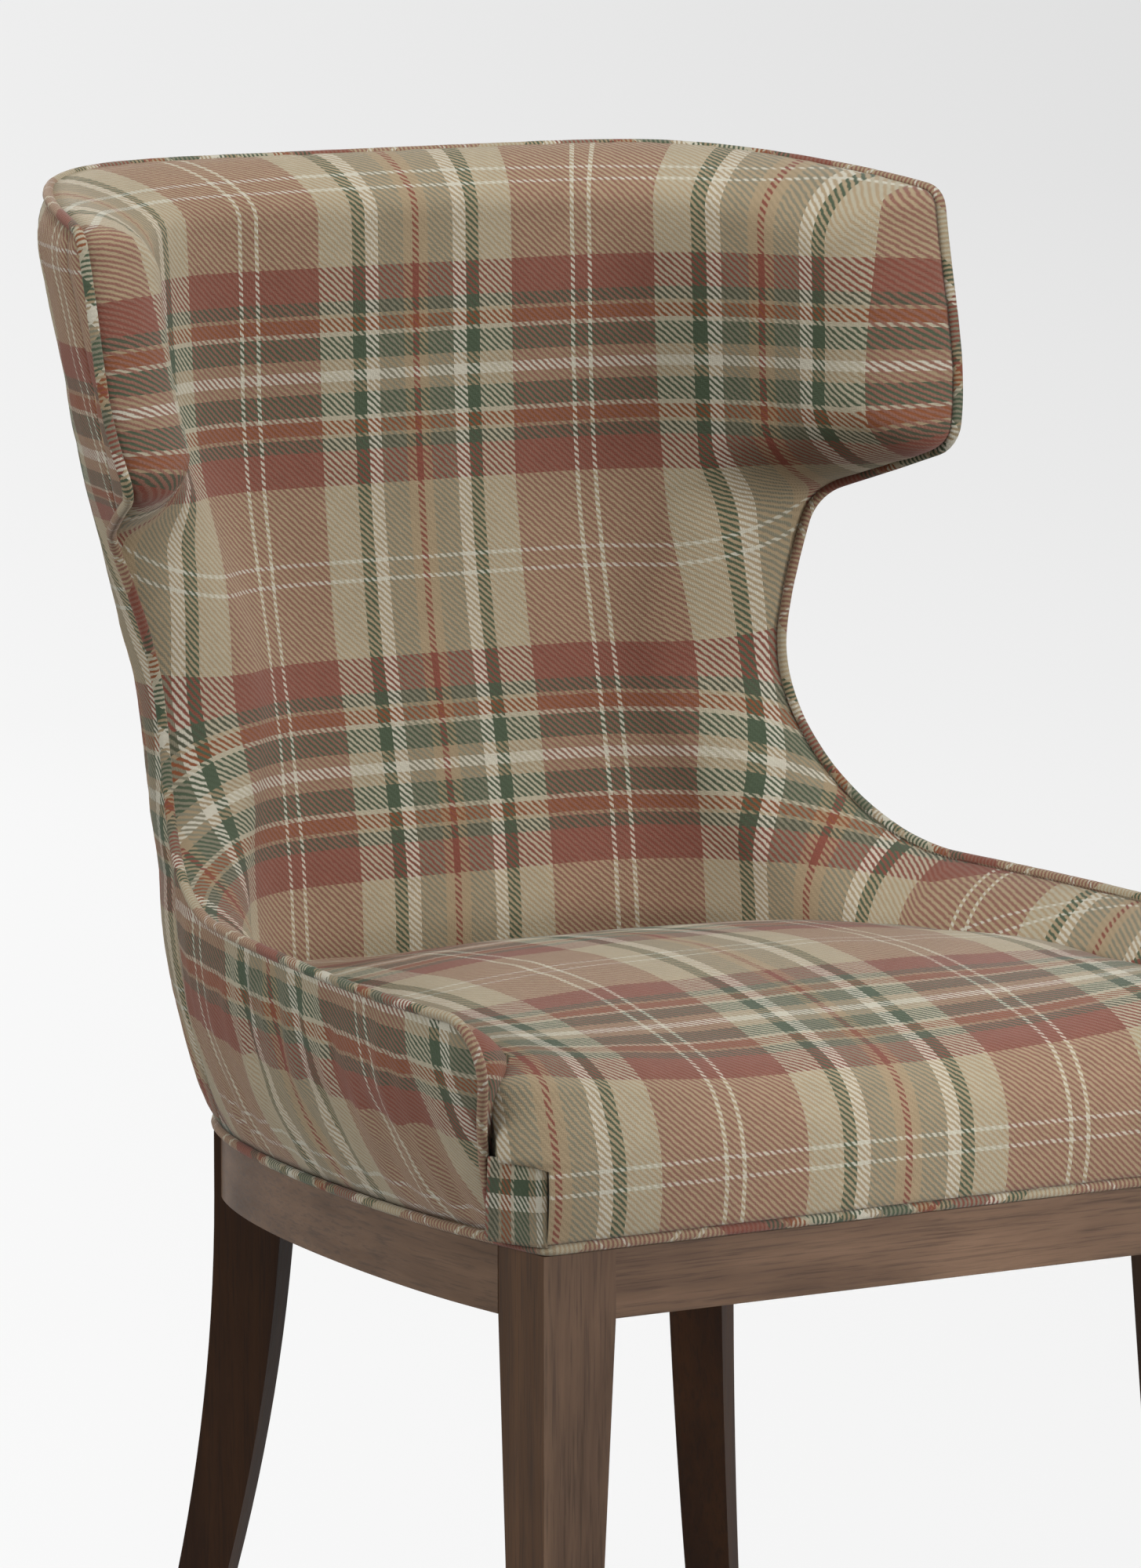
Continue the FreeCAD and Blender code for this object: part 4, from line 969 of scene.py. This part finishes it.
seat_uvs = np.stack([from_middle.ravel(), np.repeat(line_run - front_run - 0.124, SEAT_COLUMNS)], axis=1)
relief = 0.0016 * soft(grid[:, :, 0], grid[:, :, 1], (0.085, 0.085), 41.0)
relief += 0.0006 * soft(grid[:, :, 0], grid[:, :, 1] + grid[:, :, 2], (0.03, 0.03), 45.0)
along_x, along_y = np.gradient(grid, axis=1), np.gradient(grid, axis=0)
outward = np.cross(along_x, along_y)
outward /= np.maximum(np.linalg.norm(outward, axis=2, keepdims=True), 1e-9)
relief[:4] = 0.0
seat_points = list((grid + outward * relief[:, :, None]).reshape(-1, 3))
seat_faces = grid_faces(SEAT_ROWS, SEAT_COLUMNS)
seat_uvs = list(seat_uvs)

# The cloth goes on from the top's edges, back beside the front's corners and down beside the arms
for column, sign in ((0, -1.0), (SEAT_COLUMNS - 1, 1.0)):
    first = len(seat_points)
    levels = 9
    for row in range(SEAT_ROWS):
        edge = seat_points[row * SEAT_COLUMNS + column]
        back = 0.018 * smooth((0.030 - (edge[1] - SHIFT_Y)) / 0.02)
        down = smooth(((edge[1] - SHIFT_Y) - 0.020) / 0.02)
        for level in range(levels):
            t = level / (levels - 1)
            z = edge[2] + (RAIL + SEAT_FOOT - edge[2]) * t * down
            seat_points.append((edge[0] - sign * 0.006 * t, edge[1] + back * t, z))
            seat_uvs.append((sign * (abs(seat_uvs[row * SEAT_COLUMNS + column][0]) + 0.02 * t),
                             seat_uvs[row * SEAT_COLUMNS + column][1]))
    seat_faces += grid_faces(SEAT_ROWS, levels, first, flip=sign > 0)

# Back and bottom, out of sight, close the form
first = len(seat_points)
for row in (SEAT_ROWS - 1, 0):
    for k in range(SEAT_COLUMNS):
        x, y, _ = seat_points[row * SEAT_COLUMNS + k]
        seat_points.append((x, y, RAIL + SEAT_FOOT))
        seat_uvs.append((x, y))
for k in range(SEAT_COLUMNS - 1):
    a = (SEAT_ROWS - 1) * SEAT_COLUMNS + k
    seat_faces.append((a, a + 1, first + k + 1, first + k))
    seat_faces.append((first + k, first + k + 1, first + SEAT_COLUMNS + k + 1, first + SEAT_COLUMNS + k))
seat = make_mesh("seat", seat_points, seat_faces, seat_uvs, tartan)
weld(seat, 0.00004)
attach(seat, "root")
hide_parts("seat_cover", "seat_foam")

# Small crosswise pieces of cloth under the front corners of the seat
PATCH_ROWS, PATCH_COLUMNS, PATCH_FOOT = 16, 14, 0.0060
for sign, word in ((-1.0, "left"), (1.0, "right")):
    patch_points, patch_uvs = [], []
    for i in range(PATCH_ROWS):
        h = PATCH_FOOT + (FOLD + 0.004 - PATCH_FOOT) * i / (PATCH_ROWS - 1)
        for j in range(PATCH_COLUMNS):
            t = j / (PATCH_COLUMNS - 1)
            wide = FRONT_HALF + (0.0175 + 0.010 * i / (PATCH_ROWS - 1)) * t
            deep = -0.0050 + 0.0012 * math.cos(t * 2.0) + (0.043 - 0.020 * i / (PATCH_ROWS - 1)) * t ** 1.5
            out = 0.0022 * math.sin(math.pi * min(1.0, t * 1.1)) * math.sin(math.pi * i / (PATCH_ROWS - 1)) ** 0.5
            out += 0.0006 * noise.noise(Vector((t * 4.0, h * 90.0, 3.0 + sign)))
            patch_points.append((sign * (wide + out * 0.8), deep - out * 0.6 + SHIFT_Y, RAIL + h))
            patch_uvs.append((h + 0.001, sign * t * 0.060 + 0.010))
    patch_faces = grid_faces(PATCH_ROWS, PATCH_COLUMNS, flip=sign < 0)
    patch = make_mesh(word + "_corner_patch", patch_points, patch_faces, patch_uvs, tartan)
    thicken(patch, 0.0014)
    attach(patch, "root")

# Camera at the photograph's angle

YAW, PITCH = math.radians(32.6), math.radians(7.7486)
FOCAL_PIXELS, FRAME_HEIGHT = 12212.7, 2000.0
camera_data = bpy.data.cameras.new("camera")
camera_data.sensor_width = 36.0
camera_data.lens = FOCAL_PIXELS / FRAME_HEIGHT * camera_data.sensor_width
camera_data.clip_end = 60.0
camera = bpy.data.objects.new("camera", camera_data)
camera.location = (-3.1966, -4.6308 + SHIFT_Y, 1.3747)
camera.rotation_euler = (math.pi / 2.0 - PITCH, 0.0, -YAW)
bpy.context.scene.collection.objects.link(camera)
bpy.context.scene.camera = camera


def lamp(name, place, target, width, power, spread=180.0):
    """Round lamp that faces a target; its spread is in degrees."""
    data = bpy.data.lights.new(name, "AREA")
    data.shape = "DISK"
    data.size = width
    data.energy = power
    data.spread = math.radians(spread)
    thing = bpy.data.objects.new(name, data)
    thing.location = place
    thing.rotation_euler = (Vector(target) - Vector(place)).to_track_quat("-Z", "Y").to_euler()
    bpy.context.scene.collection.objects.link(thing)


lamp("overhead", (-0.2, -0.3, 3.1), (0.0, 0.0, 0.6), 1.7, 60.0)
lamp("right", (2.9, -2.8, 1.3), (0.0, -0.1, 0.5), 1.4, 118.0)
lamp("front", (0.6, -4.2, 1.3), (0.0, 0.0, 0.6), 1.4, 46.0)
lamp("left", (-4.1, 0.3, 1.7), (0.0, 0.0, 0.6), 1.4, 128.0)
lamp("behind", (1.5, 4.1, 1.7), (0.0, 0.0, 0.6), 1.4, 105.0)
lamp("low front", (-0.5, -2.9, 0.62), (0.05, -0.3, 0.30), 0.5, 0.32, 11.0)

world = bpy.data.worlds.new("studio")
bpy.context.scene.world = world
world.use_nodes = True
world_tree = world.node_tree
world_tree.nodes.clear()
w = Graph(world_tree)
sky = w.node("ShaderNodeMixShader")
w.put(sky.inputs[0], w.node("ShaderNodeLightPath").outputs["Is Camera Ray"])
for socket, strength in zip(sky.inputs[1:], (0.18, 0.83)):
    background = w.node("ShaderNodeBackground")
    background.inputs["Strength"].default_value = strength
    background.inputs["Color"].default_value = (1.0, 1.0, 1.0, 1.0)
    w.put(socket, background.outputs[0])
w.put(w.node("ShaderNodeOutputWorld").inputs["Surface"], sky.outputs[0])

# Pale sweep: a floor that curves up into a backdrop, far enough away for cameras on every side
FLOOR_END, BEND, WALL_TOP, SWEEP_HALF = 13.0, 2.5, 9.0, 16.0
sweep_section = [(-14.0, 0.0), (-4.0, 0.0), (0.0, 0.0), (4.0, 0.0), (8.0, 0.0), (FLOOR_END, 0.0)]
for a in np.linspace(0.1, math.pi / 2, 14):
    sweep_section.append((FLOOR_END + BEND * math.sin(a), BEND - BEND * math.cos(a)))
sweep_section.append((FLOOR_END + BEND, WALL_TOP))
sweep_points = []
for forward, up in sweep_section:
    for wide in (-SWEEP_HALF, SWEEP_HALF):
        x = wide * math.cos(YAW) + forward * math.sin(YAW)
        y = -wide * math.sin(YAW) + forward * math.cos(YAW)
        sweep_points.append((x, y, up))
sweep_faces = grid_faces(len(sweep_section), 2)
pale, pale_tree, pale_shader = new_material("pale sweep")
g = Graph(pale_tree)
g.put(pale_shader.inputs["Base Color"], (0.22, 0.22, 0.22, 1.0))
pale_shader.inputs["Roughness"].default_value = 0.9
pale_shader.inputs["Specular IOR Level"].default_value = 0.1
path_kind = g.node("ShaderNodeLightPath")
spot = g.node("ShaderNodeSeparateXYZ")
g.put(spot.inputs[0], g.node("ShaderNodeTexCoord").outputs["Object"])
spot_x, spot_y, spot_z = spot.outputs
ahead = g.math("ADD", g.math("MULTIPLY", spot_x, math.sin(YAW)), g.math("MULTIPLY", spot_y, math.cos(YAW)))
rightward = g.math("SUBTRACT", g.math("MULTIPLY", spot_x, math.cos(YAW)), g.math("MULTIPLY", spot_y, math.sin(YAW)))
climb = g.math("ADD", ahead, g.math("MULTIPLY", spot_z, 2.0))
level = g.math("MULTIPLY", climb, 1.0 / 15.6)
# Painted light: to camera rays and reflections the sweep glows in a grey gradient, darker farther back, higher up
# and to the right. The glow also covers almost all of the chair's shadow on the floor.
GREYS = (0.023, 0.950), (0.27, 0.925), (0.46, 0.885), (0.64, 0.862), (0.95, 0.832)
grey = g.ramp(level, [(place, (tone, tone, tone)) for place, tone in GREYS])
near = g.math("MAXIMUM", g.math("MINIMUM", rightward, 2.0), -2.0)
slope = g.math("ADD", g.math("MULTIPLY", near, -0.055), 1.0)
glow = g.node("ShaderNodeEmission")
glow.inputs["Strength"].default_value = 1.0
g.put(glow.inputs["Color"], g.mix(1.0, grey, g.grey_of(slope), "MULTIPLY"))
both = g.node("ShaderNodeMixShader")
seen = path_kind.outputs["Is Camera Ray"]
for kind in ("Is Glossy Ray", "Is Transmission Ray"):
    seen = g.math("MAXIMUM", seen, path_kind.outputs[kind])
g.put(both.inputs[0], g.math("MULTIPLY", seen, 0.96))
g.put(both.inputs[1], pale_shader.outputs[0])
g.put(both.inputs[2], glow.outputs[0])
output = [n for n in pale_tree.nodes if n.type == "OUTPUT_MATERIAL"][0]
g.put(output.inputs["Surface"], both.outputs[0])
sweep = make_mesh("pale_sweep", sweep_points, sweep_faces, None, pale)

bpy.context.scene.view_settings.view_transform = "Standard"

bpy.context.view_layer.update()
